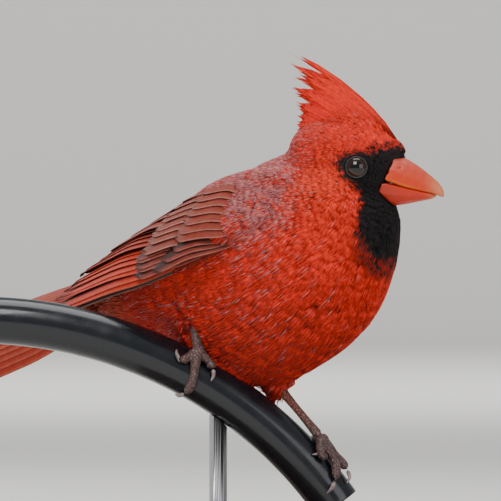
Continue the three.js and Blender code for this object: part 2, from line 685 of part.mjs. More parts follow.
for (const name of ["right", "left"]) {
  const foot = TOES[name];
  const keepOff = bodyForm(GAP).add(pole(GAP));
  node("shank_" + name, largest(shankForm(name, 0).subtract(footForm(foot, GAP))), SKIN, 0.6);
  node("foot_" + name, largest(footForm(foot, 0).subtract(keepOff)), SKIN, 0.6);
  for (const [toe, shape] of Object.entries(foot.toes)) {
    node("claw_" + name + "_" + toe, largest(clawForm(shape).subtract(footForm(foot, GAP)).subtract(keepOff)), HORN, 0.35);
  }
}

export default group;
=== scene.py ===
"""Adult male northern cardinal, life size, gripping a short cut length of curved steel pole.

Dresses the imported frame: plumage, wing and tail feathers, crest, bill, eyes, legs, perch,
stand and studio. Lengths in the modelling code are millimetres in the row frame until a mesh
is made; +X is the way the bird looks, +Y away from its right side, +Z up.
"""

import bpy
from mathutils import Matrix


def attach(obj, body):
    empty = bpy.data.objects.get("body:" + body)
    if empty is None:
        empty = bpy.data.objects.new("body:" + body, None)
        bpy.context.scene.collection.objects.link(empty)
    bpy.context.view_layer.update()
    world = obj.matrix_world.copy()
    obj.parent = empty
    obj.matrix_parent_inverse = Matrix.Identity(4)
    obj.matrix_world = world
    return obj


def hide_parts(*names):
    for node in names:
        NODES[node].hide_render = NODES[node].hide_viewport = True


bl_info = {
    "name": "Northern Cardinal",
    "version": (1, 0, 0),
    "blender": (4, 5, 0),
    "location": "View3D > Sidebar > Cardinal",
    "description": "Builds a male northern cardinal on its perch and stand",
    "category": "Object",
}

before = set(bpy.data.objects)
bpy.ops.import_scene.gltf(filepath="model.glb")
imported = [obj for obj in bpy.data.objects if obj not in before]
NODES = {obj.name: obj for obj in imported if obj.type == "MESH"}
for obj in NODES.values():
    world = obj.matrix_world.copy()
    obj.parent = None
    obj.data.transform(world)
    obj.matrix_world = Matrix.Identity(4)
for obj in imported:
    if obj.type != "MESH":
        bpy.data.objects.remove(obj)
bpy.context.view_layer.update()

import math
from contextlib import contextmanager

import bpy
import numpy as np
from bpy.props import FloatProperty, FloatVectorProperty, IntProperty, PointerProperty
from mathutils import Matrix, Vector
from mathutils.bvhtree import BVHTree

MM = 0.001
MERGE = 0.01 * MM  # vertices closer than this are one
SHARP_EDGE = math.radians(35)
BARB_TRIANGLES = 6
PIECE_LIMIT = 190000  # triangles in one piece of the coat
FINISHES = {}  # the materials by name, filled by make_finishes

# The bird's two frames, as the solids have them: x forward, y to its left, z up.
BODY_AT = np.array([13.3, 0.0, 94.0])
BODY_YAW = math.radians(-30)
HEAD_AT = np.array([33.3, -12.0, 130.7])
HEAD_YAW = math.radians(-12)

# The pole is cut from a bend of this radius about this middle, in the plane y = 0, between
# two angles from straight up, in degrees.
POLE_RADIUS = 7.9
BEND_RADIUS = 147.0
BEND_AT = (-89.0, -68.0)
BEND_FROM, BEND_TO = 0.0, 54.5

# The photograph's frame: 3 pixels to the millimetre at the bird, seen level.
PICTURE = 501
PIXELS_PER_MM = 3.0
PICTURE_ORIGIN = (245.0, 557.0)
CAMERA_DISTANCE = 2500.0
SENSOR = 36.0


def linear(code):
    """An sRGB hex colour as linear RGB."""
    parts = [int(code[i : i + 2], 16) / 255 for i in (1, 3, 5)]
    return tuple(c / 12.92 if c <= 0.04045 else ((c + 0.055) / 1.055) ** 2.4 for c in parts)


def colour(code):
    """An sRGB hex colour as an array of linear RGB."""
    return np.array(linear(code))


def rgba(code):
    """An sRGB hex colour as an opaque linear colour, for a socket."""
    return (*linear(code), 1)


# Small geometry helpers


def turned(yaw):
    """A turn about the vertical."""
    c, s = math.cos(yaw), math.sin(yaw)
    return np.array([[c, -s, 0.0], [s, c, 0.0], [0.0, 0.0, 1.0]])


def from_body(points):
    """Points of the body's frame in the row frame; the next three work alike."""
    return np.asarray(points, float) @ turned(BODY_YAW).T + BODY_AT


def to_body(points):
    return (points - BODY_AT) @ turned(BODY_YAW)


def from_head(points):
    return np.asarray(points, float) @ turned(HEAD_YAW).T + HEAD_AT


def to_head(points):
    return (points - HEAD_AT) @ turned(HEAD_YAW)


def unit(vectors):
    return vectors / np.maximum(np.linalg.norm(vectors, axis=-1, keepdims=True), 1e-9)


def step(low, high, value):
    """0 below low, 1 above high and smooth between; high may be the lower one."""
    t = np.clip((value - low) / (high - low), 0, 1)
    return t * t * (3 - 2 * t)


def mix(a, b, t):
    """From a to b by the share t."""
    return a + (b - a) * t


def washed(shade, over, share):
    """Colours by point, each covered with another by its share."""
    return mix(shade, np.array(over), share[..., None])


def ripple(points, scale, seed=0):
    """A smooth, repeatable variation from -1 to 1 over space, with features of that size."""
    random = np.random.default_rng(seed)
    total = np.zeros(len(points))
    for _ in range(6):
        way = unit(random.normal(size=3)) / scale * random.uniform(0.7, 1.6)
        total += np.sin(points @ way * 2 * math.pi + random.uniform(0, 2 * math.pi))
    return np.clip(total / 3, -1, 1)


class Curve:
    """A smooth line through a few points, read by its share of the length."""

    def __init__(self, points):
        points = np.asarray(points, float)
        points = np.vstack([2 * points[0] - points[1], points, 2 * points[-1] - points[-2]])
        dense = []
        for a, b, c, d in zip(points, points[1:], points[2:], points[3:]):
            steps = [max(np.linalg.norm(q - p), 1e-6) ** 0.5 for p, q in ((a, b), (b, c), (c, d))]
            first = (b - a) / steps[0] - (c - a) / (steps[0] + steps[1]) + (c - b) / steps[1]
            last = (c - b) / steps[1] - (d - b) / (steps[1] + steps[2]) + (d - c) / steps[2]
            first, last = first * steps[1], last * steps[1]
            t = np.linspace(0, 1, 60, endpoint=False)[:, None]
            dense.append(
                b
                + first * t
                + (-3 * b + 3 * c - 2 * first - last) * t**2
                + (2 * b - 2 * c + first + last) * t**3
            )
        self.points = np.vstack([*dense, points[-2][None]])
        gaps = np.linalg.norm(np.diff(self.points, axis=0), axis=1)
        self.run = np.concatenate([[0], np.cumsum(gaps)]) / gaps.sum()

    def at(self, share):
        """The points there."""
        return np.stack([np.interp(share, self.run, self.points[:, i]) for i in range(3)], -1)

    def way(self, share):
        """The line's direction there."""
        near = np.clip(share, 0.004, 0.996)
        return unit(self.at(near + 0.004) - self.at(near - 0.004))


# The crest's tips down its back edge, its roots over the crown and the points it bends through
CREST_TIPS = Curve([
    (-16.8, 0, 37), (-19.2, 0, 33.6), (-19.6, 0, 29.2), (-18.4, 0, 25), (-17.4, 0, 19.6),
    (-17.6, 0, 9.5),
])
CREST_ROOTS = Curve([
    (18.8, 0, 5.6), (15.9, 0, 9.4), (8, 0, 12), (0, 0, 13), (-8, 0, 11), (-13, 0, 7),
])
CREST_KNEES = Curve([
    (5.6, 0, 25.2), (-2.4, 0, 23.6), (-7, 0, 22), (-11, 0, 16.5), (-15, 0, 9.5),
])


# The eye's middle in the head frame, with y for either side
EYE_MIDDLE = (5.9, 12.0, -1.2)


def crest_sheet(k, t):
    """Points of the crest's middle plane: k from its front edge to its back, t root to tip."""
    root, knee, end = CREST_ROOTS.at(k), CREST_KNEES.at(k), CREST_TIPS.at(k)
    t = np.asarray(t)[..., None]
    return (1 - t) ** 2 * root + 2 * t * (1 - t) * knee + t**2 * end


def crest_way(x, z):
    """The way the crest's feathers run at points seen from the side, in the head frame."""
    k, t = (g.ravel() for g in np.meshgrid(np.linspace(0, 1, 24), np.linspace(0, 1, 24)))
    spots = crest_sheet(k, t)
    ways = unit(crest_sheet(k, t + 0.02) - crest_sheet(k, t - 0.02))
    found = ((x[:, None] - spots[:, 0]) ** 2 + (z[:, None] - spots[:, 2]) ** 2).argmin(1)
    return ways[found]


def eye_distance(head):
    """How far points in the head frame are from the nearer eye."""
    aside = np.stack([head[:, 0], np.abs(head[:, 1]), head[:, 2]], 1)
    return np.linalg.norm(aside - EYE_MIDDLE, axis=1)


# Object helpers


def placed(name, data):
    """A new object in the scene."""
    made = bpy.data.objects.new(name, data)
    bpy.context.scene.collection.objects.link(made)
    return made


def smooth(piece):
    """Shades a piece smooth all over."""
    piece.data.polygons.foreach_set("use_smooth", [True] * len(piece.data.polygons))


@contextmanager
def editing(piece):
    """Edit mode with all of a piece selected, for the operators called within."""
    select_only(piece)
    bpy.ops.object.mode_set(mode="EDIT")
    bpy.ops.mesh.select_all(action="SELECT")
    yield
    bpy.ops.object.mode_set(mode="OBJECT")


def select_only(*pieces):
    """Selects these pieces alone, with the first active."""
    bpy.ops.object.select_all(action="DESELECT")
    for piece in pieces:
        piece.select_set(True)
    bpy.context.view_layer.objects.active = pieces[0]


def give(piece, finish, nodes=(), sharp=False):
    """Finishes a piece: its material and the solids it stands for.
    A sharp piece keeps its edges over SHARP_EDGE; every other one is smooth all over."""
    piece.data.materials.clear()
    piece.data.materials.append(FINISHES[finish])
    if sharp:
        select_only(piece)
        bpy.ops.object.shade_smooth_by_angle(angle=SHARP_EDGE)
    else:
        smooth(piece)
    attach(piece, "root")
    if nodes:
        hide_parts(*nodes)


def sphere(segments, rings, radius=1.0):
    """A new sphere about the origin; its radius is in metres."""
    bpy.ops.object.select_all(action="DESELECT")
    bpy.ops.mesh.primitive_uv_sphere_add(segments=segments, ring_count=rings, radius=radius)
    return bpy.context.object


def move_vertices(piece, spots):
    """Puts a piece's vertices at points in millimetres."""
    piece.data.vertices.foreach_set("co", (spots * MM).astype(np.float32).ravel())
    piece.data.update()


def face_outwards(piece):
    """Turns a closed piece's faces outwards."""
    with editing(piece):
        bpy.ops.mesh.normals_make_consistent(inside=False)


def mesh_piece(name, points, faces, colours, maps):
    """A mesh object from arrays: points in millimetres, triangles, colours by point, UV maps."""
    mesh = bpy.data.meshes.new(name)
    faces = np.asarray(faces, np.int32)
    mesh.vertices.add(len(points))
    mesh.vertices.foreach_set("co", (np.asarray(points) * MM).astype(np.float32).ravel())
    mesh.loops.add(faces.size)
    mesh.loops.foreach_set("vertex_index", faces.ravel())
    mesh.polygons.add(len(faces))
    mesh.polygons.foreach_set("loop_start", np.arange(0, faces.size, 3, dtype=np.int32))
    mesh.update(calc_edges=True)
    paint(mesh, colours)
    for label, spots in maps.items():
        layer = mesh.uv_layers.new(name=label)
        layer.data.foreach_set("uv", spots[faces.ravel()].astype(np.float32).ravel())
    mesh.validate()
    return placed(name, mesh)


def paint(mesh, colours):
    """Writes one linear colour for each vertex into the attribute that the materials read."""
    layer = mesh.color_attributes.new(name="Plumage", type="FLOAT_COLOR", domain="POINT")
    rgba = np.ones((len(mesh.vertices), 4), np.float32)
    rgba[:, :3] = np.clip(colours, 0, 1)
    layer.data.foreach_set("color", rgba.ravel())


def copied(name, *nodes):
    """One mesh object holding copies of CAD nodes, with their loose triangles merged."""
    copies = [placed(name, NODES[node].data.copy()) for node in nodes]
    select_only(*copies)
    if len(copies) > 1:
        bpy.ops.object.join()
    piece = bpy.context.view_layer.objects.active
    with editing(piece):
        bpy.ops.mesh.remove_doubles(threshold=MERGE)
    return piece


def applied(piece, kind, **settings):
    """Adds a modifier with its settings and applies it."""
    select_only(piece)
    modifier = piece.modifiers.new(kind.title(), kind)
    for key, value in settings.items():
        setattr(modifier, key, value)
    bpy.ops.object.modifier_apply(modifier=modifier.name)


def bevelled(piece, width, segments, degrees):
    """Rounds the edges that are sharper than so many degrees; the width is in metres."""
    applied(
        piece, "BEVEL", width=width, segments=segments, limit_method="ANGLE",
        angle_limit=math.radians(degrees),
    )


def refined(piece, voxel, smooth, swell=0.0):
    """Rebuilds a coarse solid as one smooth surface; swell closes the hairline gaps first."""
    if swell:
        applied(piece, "DISPLACE", strength=swell * MM, mid_level=0.0)
    applied(piece, "REMESH", mode="VOXEL", voxel_size=voxel * MM, use_smooth_shade=True)
    applied(piece, "SMOOTH", factor=0.5, iterations=smooth)
    if swell:
        applied(piece, "DISPLACE", strength=-swell * MM, mid_level=0.0)
    return piece


def vertices_of(piece):
    """A piece's vertices in millimetres."""
    spots = np.empty(len(piece.data.vertices) * 3, np.float32)
    piece.data.vertices.foreach_get("co", spots)
    return spots.reshape(-1, 3).astype(float) / MM


def tree_of(piece):
    """A search tree of a piece's surface, in millimetres."""
    mesh = piece.data
    return BVHTree.FromPolygons(
        [Vector(p) for p in vertices_of(piece)], [tuple(f.vertices) for f in mesh.polygons]
    )


# Materials. Each starts from the principled shader; wire adds a node with settings and links.


def material(name, **values):
    """A new material and its shader, with the given sockets set."""
    made = bpy.data.materials.new(name)
    made.use_nodes = True
    shader = made.node_tree.nodes["Principled BSDF"]
    for key, value in values.items():
        shader.inputs[key].default_value = value
    return made, shader


def wire(tree, kind, links=None, settings=None, **values):
    """Adds a node: links fill its inputs from other nodes, settings are its own properties."""
    made = tree.nodes.new(kind)
    for key, value in (settings or {}).items():
        setattr(made, key, value)
    for key, value in values.items():
        made.inputs[key].default_value = value
    for key, source in (links or {}).items():
        tree.links.new(source, made.inputs[key])
    return made


def painted(tree):
    """The colours painted on the mesh."""
    made = wire(tree, "ShaderNodeAttribute", settings={"attribute_name": "Plumage"})
    return made.outputs["Color"]


def grain(tree, stretch=None, **values):
    """Noise in the object's own coordinates, in metres; stretch gives a scale for each axis."""
    place = wire(tree, "ShaderNodeTexCoord").outputs["Object"]
    if stretch:
        mapping = wire(tree, "ShaderNodeMapping", {"Vector": place})
        mapping.inputs["Scale"].default_value = stretch
        place = mapping.outputs["Vector"]
    return wire(tree, "ShaderNodeTexNoise", {"Vector": place}, **values).outputs["Fac"]


def cells(tree, scale, reading, feature="F1"):
    """Voronoi cells in the object's own coordinates."""
    place = wire(tree, "ShaderNodeTexCoord").outputs["Object"]
    made = wire(
        tree, "ShaderNodeTexVoronoi", {"Vector": place}, settings={"feature": feature}, Scale=scale
    )
    return made.outputs[reading]


def ranged(tree, value, low, high, to_low, to_high):
    """A value moved from one range to another."""
    ends = {"From Min": low, "From Max": high, "To Min": to_low, "To Max": to_high}
    return wire(tree, "ShaderNodeMapRange", {"Value": value}, **ends).outputs["Result"]


def worked(tree, operation, value, factor=None, added=None):
    """A sum on a value, with a fixed factor and another value to add where it takes them."""
    links = {0: value} if added is None else {0: value, 2: added}
    made = wire(tree, "ShaderNodeMath", links, settings={"operation": operation})
    if factor is not None:
        made.inputs[1].default_value = factor
    return made.outputs[0]


def tinted(tree, shader, shade):
    """Gives the shader the painted colours, lightened and darkened by shade."""
    wash = wire(
        tree, "ShaderNodeVectorMath", {0: painted(tree), "Scale": shade},
        settings={"operation": "SCALE"},
    )
    tree.links.new(wash.outputs["Vector"], shader.inputs["Base Color"])


def ramped(tree, shader, value, *stops):
    """Gives the shader a colour ramp over a value; stops are (place, hex colour)."""
    ramp = wire(tree, "ShaderNodeValToRGB", {"Fac": value})
    elements = ramp.color_ramp.elements
    while len(elements) < len(stops):
        elements.new(0.5)
    for element, (place, code) in zip(elements, stops):
        element.position = place
        element.color = rgba(code)
    tree.links.new(ramp.outputs["Color"], shader.inputs["Base Color"])


def bumped(tree, shader, height, strength, distance):
    """Gives the shader relief; the distance is in millimetres."""
    bump = wire(
        tree, "ShaderNodeBump", {"Height": height}, Strength=strength, Distance=distance * MM
    )
    tree.links.new(bump.outputs["Normal"], shader.inputs["Normal"])


def plumage_material():
    """Contour feathers: matt keratin barbs that scatter light softly; the markings are painted
    on the mesh, and a fine mottle of about 1 mm breaks them up."""
    made, shader = material(
        "contour_feather",
        **{"Roughness": 0.75, "Specular IOR Level": 0.25, "Sheen Weight": 0.06},
        **{"Sheen Roughness": 0.4, "Sheen Tint": rgba("#ffb09a")},
    )
    tree = made.node_tree
    mottle = grain(tree, Scale=900.0, Detail=3.0)
    tinted(tree, shader, ranged(tree, mottle, 0.3, 0.7, 0.88, 1.12))
    return made


BARB_GAP = 0.5  # millimetres between the barbs drawn on a vane


def vane_material():
    """Flight feathers: stiff vanes whose barbs, drawn 0.5 mm apart so that they show, run
    outwards from the shaft and give a fine, satin grain."""
    made, shader = material("flight_feather", **{"Roughness": 0.6, "Specular IOR Level": 0.3})
    tree = made.node_tree
    place = wire(tree, "ShaderNodeUVMap", settings={"uv_map": "Vane"})
    split = wire(tree, "ShaderNodeSeparateXYZ", {"Vector": place.outputs["UV"]})
    across = worked(tree, "ABSOLUTE", split.outputs["X"])
    slant = worked(tree, "MULTIPLY_ADD", across, -1.4, split.outputs["Y"])
    wave = worked(tree, "SINE", worked(tree, "MULTIPLY", slant, 2 * math.pi / BARB_GAP))
    both = worked(tree, "MULTIPLY_ADD", wave, 0.12, grain(tree, Scale=500.0, Detail=4.0))
    tinted(tree, shader, ranged(tree, both, 0.2, 0.8, 0.78, 1.2))
    bumped(tree, shader, wave, 0.35, 0.1)
    return made


def horn_material():
    """Bill sheath: smooth keratin, a little translucent, with faint growth lines about 1.5 mm
    apart and a satin gloss."""
    made, shader = material(
        "bill_keratin",
        **{"Roughness": 0.38, "Specular IOR Level": 0.4, "Subsurface Weight": 0.12},
        **{"Subsurface Radius": (0.0012, 0.0005, 0.0003), "Subsurface Scale": 1.0},
    )
    tree = made.node_tree
    tree.links.new(painted(tree), shader.inputs["Base Color"])
    bumped(tree, shader, grain(tree, Scale=700.0, Detail=5.0), 0.18, 0.2)
    return made


def claw_material():
    """Claws: hard dark horn, paler in patches about 1.5 mm across, with a low gloss."""
    made, shader = material("claw_keratin", **{"Roughness": 0.38})
    tree = made.node_tree
    patchy = grain(tree, Scale=600.0, Detail=3.0)
    ramped(tree, shader, patchy, (0.3, "#5a4c4a"), (0.7, "#9c8d88"))
    return made


def leg_material():
    """Tarsus and toes: dry scaled skin; the scutes are about 1 mm across, with darker joints."""
    made, shader = material("scaled_skin", **{"Roughness": 0.5, "Subsurface Weight": 0.05})
    shader.inputs["Subsurface Radius"].default_value = (0.001, 0.0004, 0.0003)
    tree = made.node_tree
    scutes = cells(tree, 950.0, "Distance", "DISTANCE_TO_EDGE")
    joints = ranged(tree, scutes, 0.0, 0.2, 0.16, 1.25)
    tinted(tree, shader, joints)
    bumped(tree, shader, joints, 0.7, 0.2)
    return made


def eye_material():
    """Eyeball: a dark iris and pupil painted on the mesh under a wet, clear cornea."""
    made, shader = material("eye_cornea", **{"Roughness": 0.05})
    made.node_tree.links.new(painted(made.node_tree), shader.inputs["Base Color"])
    return made


def lid_material(code):
    """Eyelid edge: bare, finely wrinkled skin, grains about 0.3 mm across."""
    made, shader = material("eyelid_skin", **{"Roughness": 0.55, "Base Color": rgba(code)})
    tree = made.node_tree
    bumped(tree, shader, cells(tree, 3200.0, "Distance"), 0.5, 0.2)
    return made


def pole_material(shade):
    """Steel tube under black powder coat: glossy, with the faint orange peel of baked powder,
    bumps about 1 mm across."""
    made, shader = material(
        "black_powder_coat", **{"Roughness": 0.2, "Specular IOR Level": 0.35, "Coat Weight": 0.3}
    )
    shader.inputs["Base Color"].default_value = (*shade, 1)
    shader.inputs["Coat Roughness"].default_value = 0.08
    tree = made.node_tree
    dust = grain(tree, Scale=120.0, Detail=6.0)
    tree.links.new(ranged(tree, dust, 0.35, 0.7, 0.16, 0.34), shader.inputs["Roughness"])
    bumped(tree, shader, grain(tree, Scale=1000.0, Detail=2.0), 0.08, 0.2)
    return made


def steel_material():
    """Stand rod: bright mild steel, drawn and brushed round, lines about 0.3 mm apart."""
    made, shader = material(
        "brushed_mild_steel", **{"Metallic": 1.0, "Roughness": 0.32, "Base Color": rgba("#b9babd")}
    )
    tree = made.node_tree
    bumped(tree, shader, grain(tree, (300, 300, 3300), Scale=1.0), 0.15, 0.1)
    return made


def wood_material():
    """Stand base: walnut, planed and waxed, grain about 2.5 mm wide along the length."""
    made, shader = material("waxed_walnut", **{"Roughness": 0.42, "Coat Weight": 0.12})
    tree = made.node_tree
    figure = grain(tree, (22, 400, 400), Scale=1.0, Detail=8.0)
    ramped(tree, shader, figure, (0.3, "#2b1a11"), (0.55, "#5b3a25"), (0.8, "#7b5235"))
    bumped(tree, shader, figure, 0.12, 0.3)
    return made


# Markings

# The black of the face and bib in the head frame, seen from the side: forehead, a thin line
# over the eye, round its front, down the throat and round the bib's end. It goes on past
# the bill.
MASK = [
    (40, 5.8), (15, 5.8), (11.0, 4.3), (6.5, 3.7), (1.8, 2.8), (-0.8, 0.8), (0.6, -0.6),
    (1.6, -3.6), (4.2, -6.0), (7.6, -9.5), (7.2, -16), (7.4, -23), (9.2, -29.5), (12.2, -33.4),
    (15.4, -34.2), (18.2, -31), (40, -29),
]


def inside(outline, x, y):
    """How far points are inside a closed outline: positive inside, in the outline's units."""
    outline = np.asarray(outline, float)
    near = np.full(len(x), 1e9)
    within = np.zeros(len(x), bool)
    for (ax, ay), (bx, by) in zip(outline, np.roll(outline, -1, axis=0)):
        run = (bx - ax) ** 2 + (by - ay) ** 2
        t = np.clip(((x - ax) * (bx - ax) + (y - ay) * (by - ay)) / run, 0, 1)
        near = np.minimum(near, np.hypot(x - ax - t * (bx - ax), y - ay - t * (by - ay)))
        cross = ((ay > y) != (by > y)) & (x < (bx - ax) * (y - ay) / (by - ay + 1e-12) + ax)
        within ^= cross
    return np.where(within, near, -near)


def markings(points, look):
    """The plumage at points on the body: its colour, and the share of barbs with grey tips.
    Regions go by the body's frame (x, y, z) and the head's (hx, hy, hz), in millimetres."""
    head, body = to_head(points), to_body(points)
    x, y, z = body.T
    hx, hy, hz = head.T
    blotch = ripple(points, 11.0, 3)
    fine = ripple(points, 3.5, 4)
    shade = washed(np.array(look.breast), look.belly, step(6, -28, z + 2 * blotch))
    shade = washed(shade, look.crown, step(8, 30, z + 0.5 * x + 2 * blotch))
    # Dusky orange-brown under the tail
    shade = washed(shade, look.vent, 0.8 * (step(-44, -64, x) * step(4, -8, z)))
    # Brown under the grey of the back
    up = step(1, 19, z - 0.18 * x - 0.5 * np.abs(y) + 9 + 2 * blotch)
    up = up * step(27, 4, x) * step(-80, -56, x)
    shade = washed(shade, look.back, 0.4 * up)
    # Cheek a little lighter, behind and under the eye
    cheek = np.exp(-(((hx + 4) / 8) ** 2 + ((hz + 7) / 6) ** 2)) * (np.abs(hy) > 5)
    shade = washed(shade, look.cheek, 0.6 * cheek)
    # Red-brown small coverts of the wing
    wing = on_wing(points) * step(5, -5, x) * step(17, 11, z - 0.42 * x)
    shade = washed(shade, look.covert, 0.85 * wing)
    shade = shade * (1 + 0.07 * blotch + 0.05 * fine)[:, None]
    black = blackness(points, 0.7 * ripple(points, 2.2, 8))
    shade = washed(shade, look.mask, black)

    def cloud(at_x, at_z, size, share):
        return share * np.exp(-(((x - at_x) / size) ** 2 + ((z - at_z) / size) ** 2))

    grey = 0.48 * up + cloud(7, 22, 11, 0.4) + cloud(9, 3, 13, 0.12) + cloud(-30, -12, 10, 0.14)
    grey = grey + 0.3 * step(-9, -17, hx) * step(-24, -10, hz) * step(12, 2, hz)
    grey = mix(grey, 0.14, wing)
    grey = grey * (1 + 0.7 * ripple(points, 5.0, 9)) + 0.015
    return shade, np.clip(grey * (1 - black), 0, 0.9)


def on_wing(points):
    """True for points on the padded shoulders, over the wing's lower edge."""
    x, y, z = to_body(points).T
    return (np.abs(y) > 17) & (z > 9.5 + 0.3 * x) & (x < 9)


def blackness(points, ragged):
    """How black the face is at points, with a ragged edge."""
    hx, _, hz = to_head(points).T
    return step(-0.5, 0.5, inside(MASK, hx, hz) + ragged)


def lie(points, normals):
    """Which way the coat lies at points on the skin: a unit vector along the surface."""
    head, body = to_head(points), to_body(points)
    x, y, z = body.T
    hx, _, hz = head.T
    none = 0 * x
    drop = mix(0.25, 0.75, step(-20, 24, x)) + 0.2 * step(10, -20, z) * step(-60, -10, x)
    trunk = np.stack([none - 1, none, -drop], 1)
    face = np.stack([none - 1, none, none - 0.3], 1)
    throat = (step(-4, -12, hz) * step(-10, 6, hx))[:, None]
    face = mix(face, np.array([-0.45, 0, -1.0]), throat)
    face = mix(face, crest_way(hx, hz), step(2.5, 9, hz + 0.25 * (hx + 4))[:, None])
    near = step(12, 4, np.linalg.norm(head - np.array([19, 0, -5]), axis=1))[:, None]
    face = mix(face, unit(head - np.array([22, 0, -5])), near)
    on_head = (step(-26, -14, hz) * step(-27, -15, hx - 0.3 * hz))[:, None]
    folded = np.stack([none - 0.93, -0.22 * np.sign(y), none - 0.34], 1)
    shoulder = (step(17, 21, np.abs(y)) * step(4, 10, z - 0.3 * x) * step(12, 2, x))[:, None]
    trunk = mix(trunk, folded, shoulder)
    way = mix(trunk @ turned(BODY_YAW).T, face @ turned(HEAD_YAW).T, on_head)
    way = way + 0.1 * np.stack([ripple(points, 12, seed) for seed in (21, 22, 23)], 1)
    return unit(way - (way * normals).sum(1, keepdims=True) * normals)


def feather_length(points):
    """Length of the coat's feathers by place, in millimetres."""
    head = to_head(points)
    x, _, z = to_body(points).T
    hz = head[:, 2]
    trunk = 7.4 + 1.8 * step(10, -25, z) + 2.0 * step(-40, -62, x)
    trunk = mix(trunk, 5.6, step(14, 34, z))
    to_bill = np.linalg.norm(head - np.array([15, 0, -4]), axis=1)
    to_eye = eye_distance(head)
    face = mix(1.9, 4.8, step(5, 15, np.minimum(to_bill, to_eye * 1.4)))
    face = mix(face, 5.4, step(-10, -20, hz))
    face = mix(face, 6.5, step(12, 20, hz))
    return mix(trunk, face, step(-26, -14, hz))


def pole_distance(points):
    """How far points are from the pole's surface."""
    out = np.hypot(points[:, 0] - BEND_AT[0], points[:, 2] - BEND_AT[1]) - BEND_RADIUS
    return np.hypot(out, points[:, 1]) - POLE_RADIUS


def coat_depth(points):
    """How deep the skin lies under the plumage's surface, in millimetres: less where the
    belly rests on the pole and at the tail's root."""
    to_pole = pole_distance(points)
    body = to_body(points)
    to_shank = np.linalg.norm(body - np.array([-5, 2.5, -37]), axis=1)
    share = mix(-0.6, 1.0, step(0.3, 5, np.minimum(to_pole, to_shank - 3)))
    share = share * mix(1.0, 0.4, step(-58, -72, body[:, 0]))
    return 0.2 * feather_length(points) * share


# Plumage


def outward(points, faces):
    """The triangles of a closed form, turned round if they face inwards."""
    points = points - points.mean(0)
    a, b, c = (points[faces[:, i]] for i in range(3))
    return faces[:, ::-1] if np.einsum("ij,ij->i", a, np.cross(b, c)).sum() < 0 else faces


def strands(paths, across, normal, width, thick):
    """Closed three-sided strands, pointed at both ends, along paths of shape (n, m, 3)."""
    count, rings = paths.shape[0], paths.shape[1] - 2
    inner = slice(1, -1)
    low = paths[:, inner] - normal[:, inner] * thick[..., None] * 0.5
    spots = np.empty((count, rings * 3 + 2, 3))
    spots[:, 0] = paths[:, 0]
    spots[:, -1] = paths[:, -1]
    spots[:, 1:-1:3] = low + across[:, inner] * width[..., None]
    spots[:, 2:-1:3] = paths[:, inner] + normal[:, inner] * thick[..., None]
    spots[:, 3:-1:3] = low - across[:, inner] * width[..., None]
    faces = []
    last = rings * 3 + 1
    for a, b in ((0, 1), (1, 2), (2, 0)):
        faces.append((0, 1 + b, 1 + a))
        for ring in range(rings - 1):
            base, over = 1 + 3 * ring, 4 + 3 * ring
            faces += [(base + a, base + b, over + b), (base + a, over + b, over + a)]
        faces.append((1 + 3 * (rings - 1) + a, 1 + 3 * (rings - 1) + b, last))
    faces = outward(spots[0], np.array(faces))
    size = rings * 3 + 2
    all_faces = (faces[None] + (np.arange(count) * size)[:, None, None]).reshape(-1, 3)
    return spots.reshape(-1, 3), all_faces, size


def scattered(piece, spacing, seed):
    """Roots over a surface, no closer than the spacing function says, with their normals."""
    random = np.random.default_rng(seed)
    mesh = piece.data
    mesh.calc_loop_triangles()
    corners = np.empty(len(mesh.loop_triangles) * 3, np.int32)
    mesh.loop_triangles.foreach_get("vertices", corners)
    corners = corners.reshape(-1, 3)
    spots = vertices_of(piece)
    a, b, c = (spots[corners[:, i]] for i in range(3))
    crossed = np.cross(b - a, c - a)
    areas = np.linalg.norm(crossed, axis=1) / 2
    middle = (a + b + c) / 3
    wish = areas / (0.8 * spacing(middle) ** 2) * 2.6
    chosen = random.choice(len(corners), size=int(wish.sum()), p=wish / wish.sum())
    u, v = random.random(len(chosen)), random.random(len(chosen))
    over = u + v > 1
    u[over], v[over] = 1 - u[over], 1 - v[over]
    found = a[chosen] + u[:, None] * (b - a)[chosen] + v[:, None] * (c - a)[chosen]
    apart = spacing(found)
    cell = apart.max()
    taken, keep = {}, []
    keys = np.floor(found / cell).astype(int)
    for i, (key, gap) in enumerate(zip(map(tuple, keys), apart)):
        crowd = (
            j
            for dx in (-1, 0, 1)
            for dy in (-1, 0, 1)
            for dz in (-1, 0, 1)
            for j in taken.get((key[0] + dx, key[1] + dy, key[2] + dz), ())
        )
        x, y, z = found[i]
        if all(
            (x - found[j][0]) ** 2 + (y - found[j][1]) ** 2 + (z - found[j][2]) ** 2 > gap * gap
            for j in crowd
        ):
            taken.setdefault(key, []).append(i)
            keep.append(i)
    return found[keep], unit(crossed[chosen[keep]])


def nearest(tree, points):
    """The nearest points on a surface, with their normals and faces."""
    spots, normals, faces = [], [], []
    for point in points:
        spot, normal, face, _ = tree.find_nearest(Vector(point))
        spots.append(spot)
        normals.append(normal)
        faces.append(face)
    return np.array(spots), np.array(normals), np.array(faces)


HANG = 3.0  # how far the feathers' tips hang down at the pole


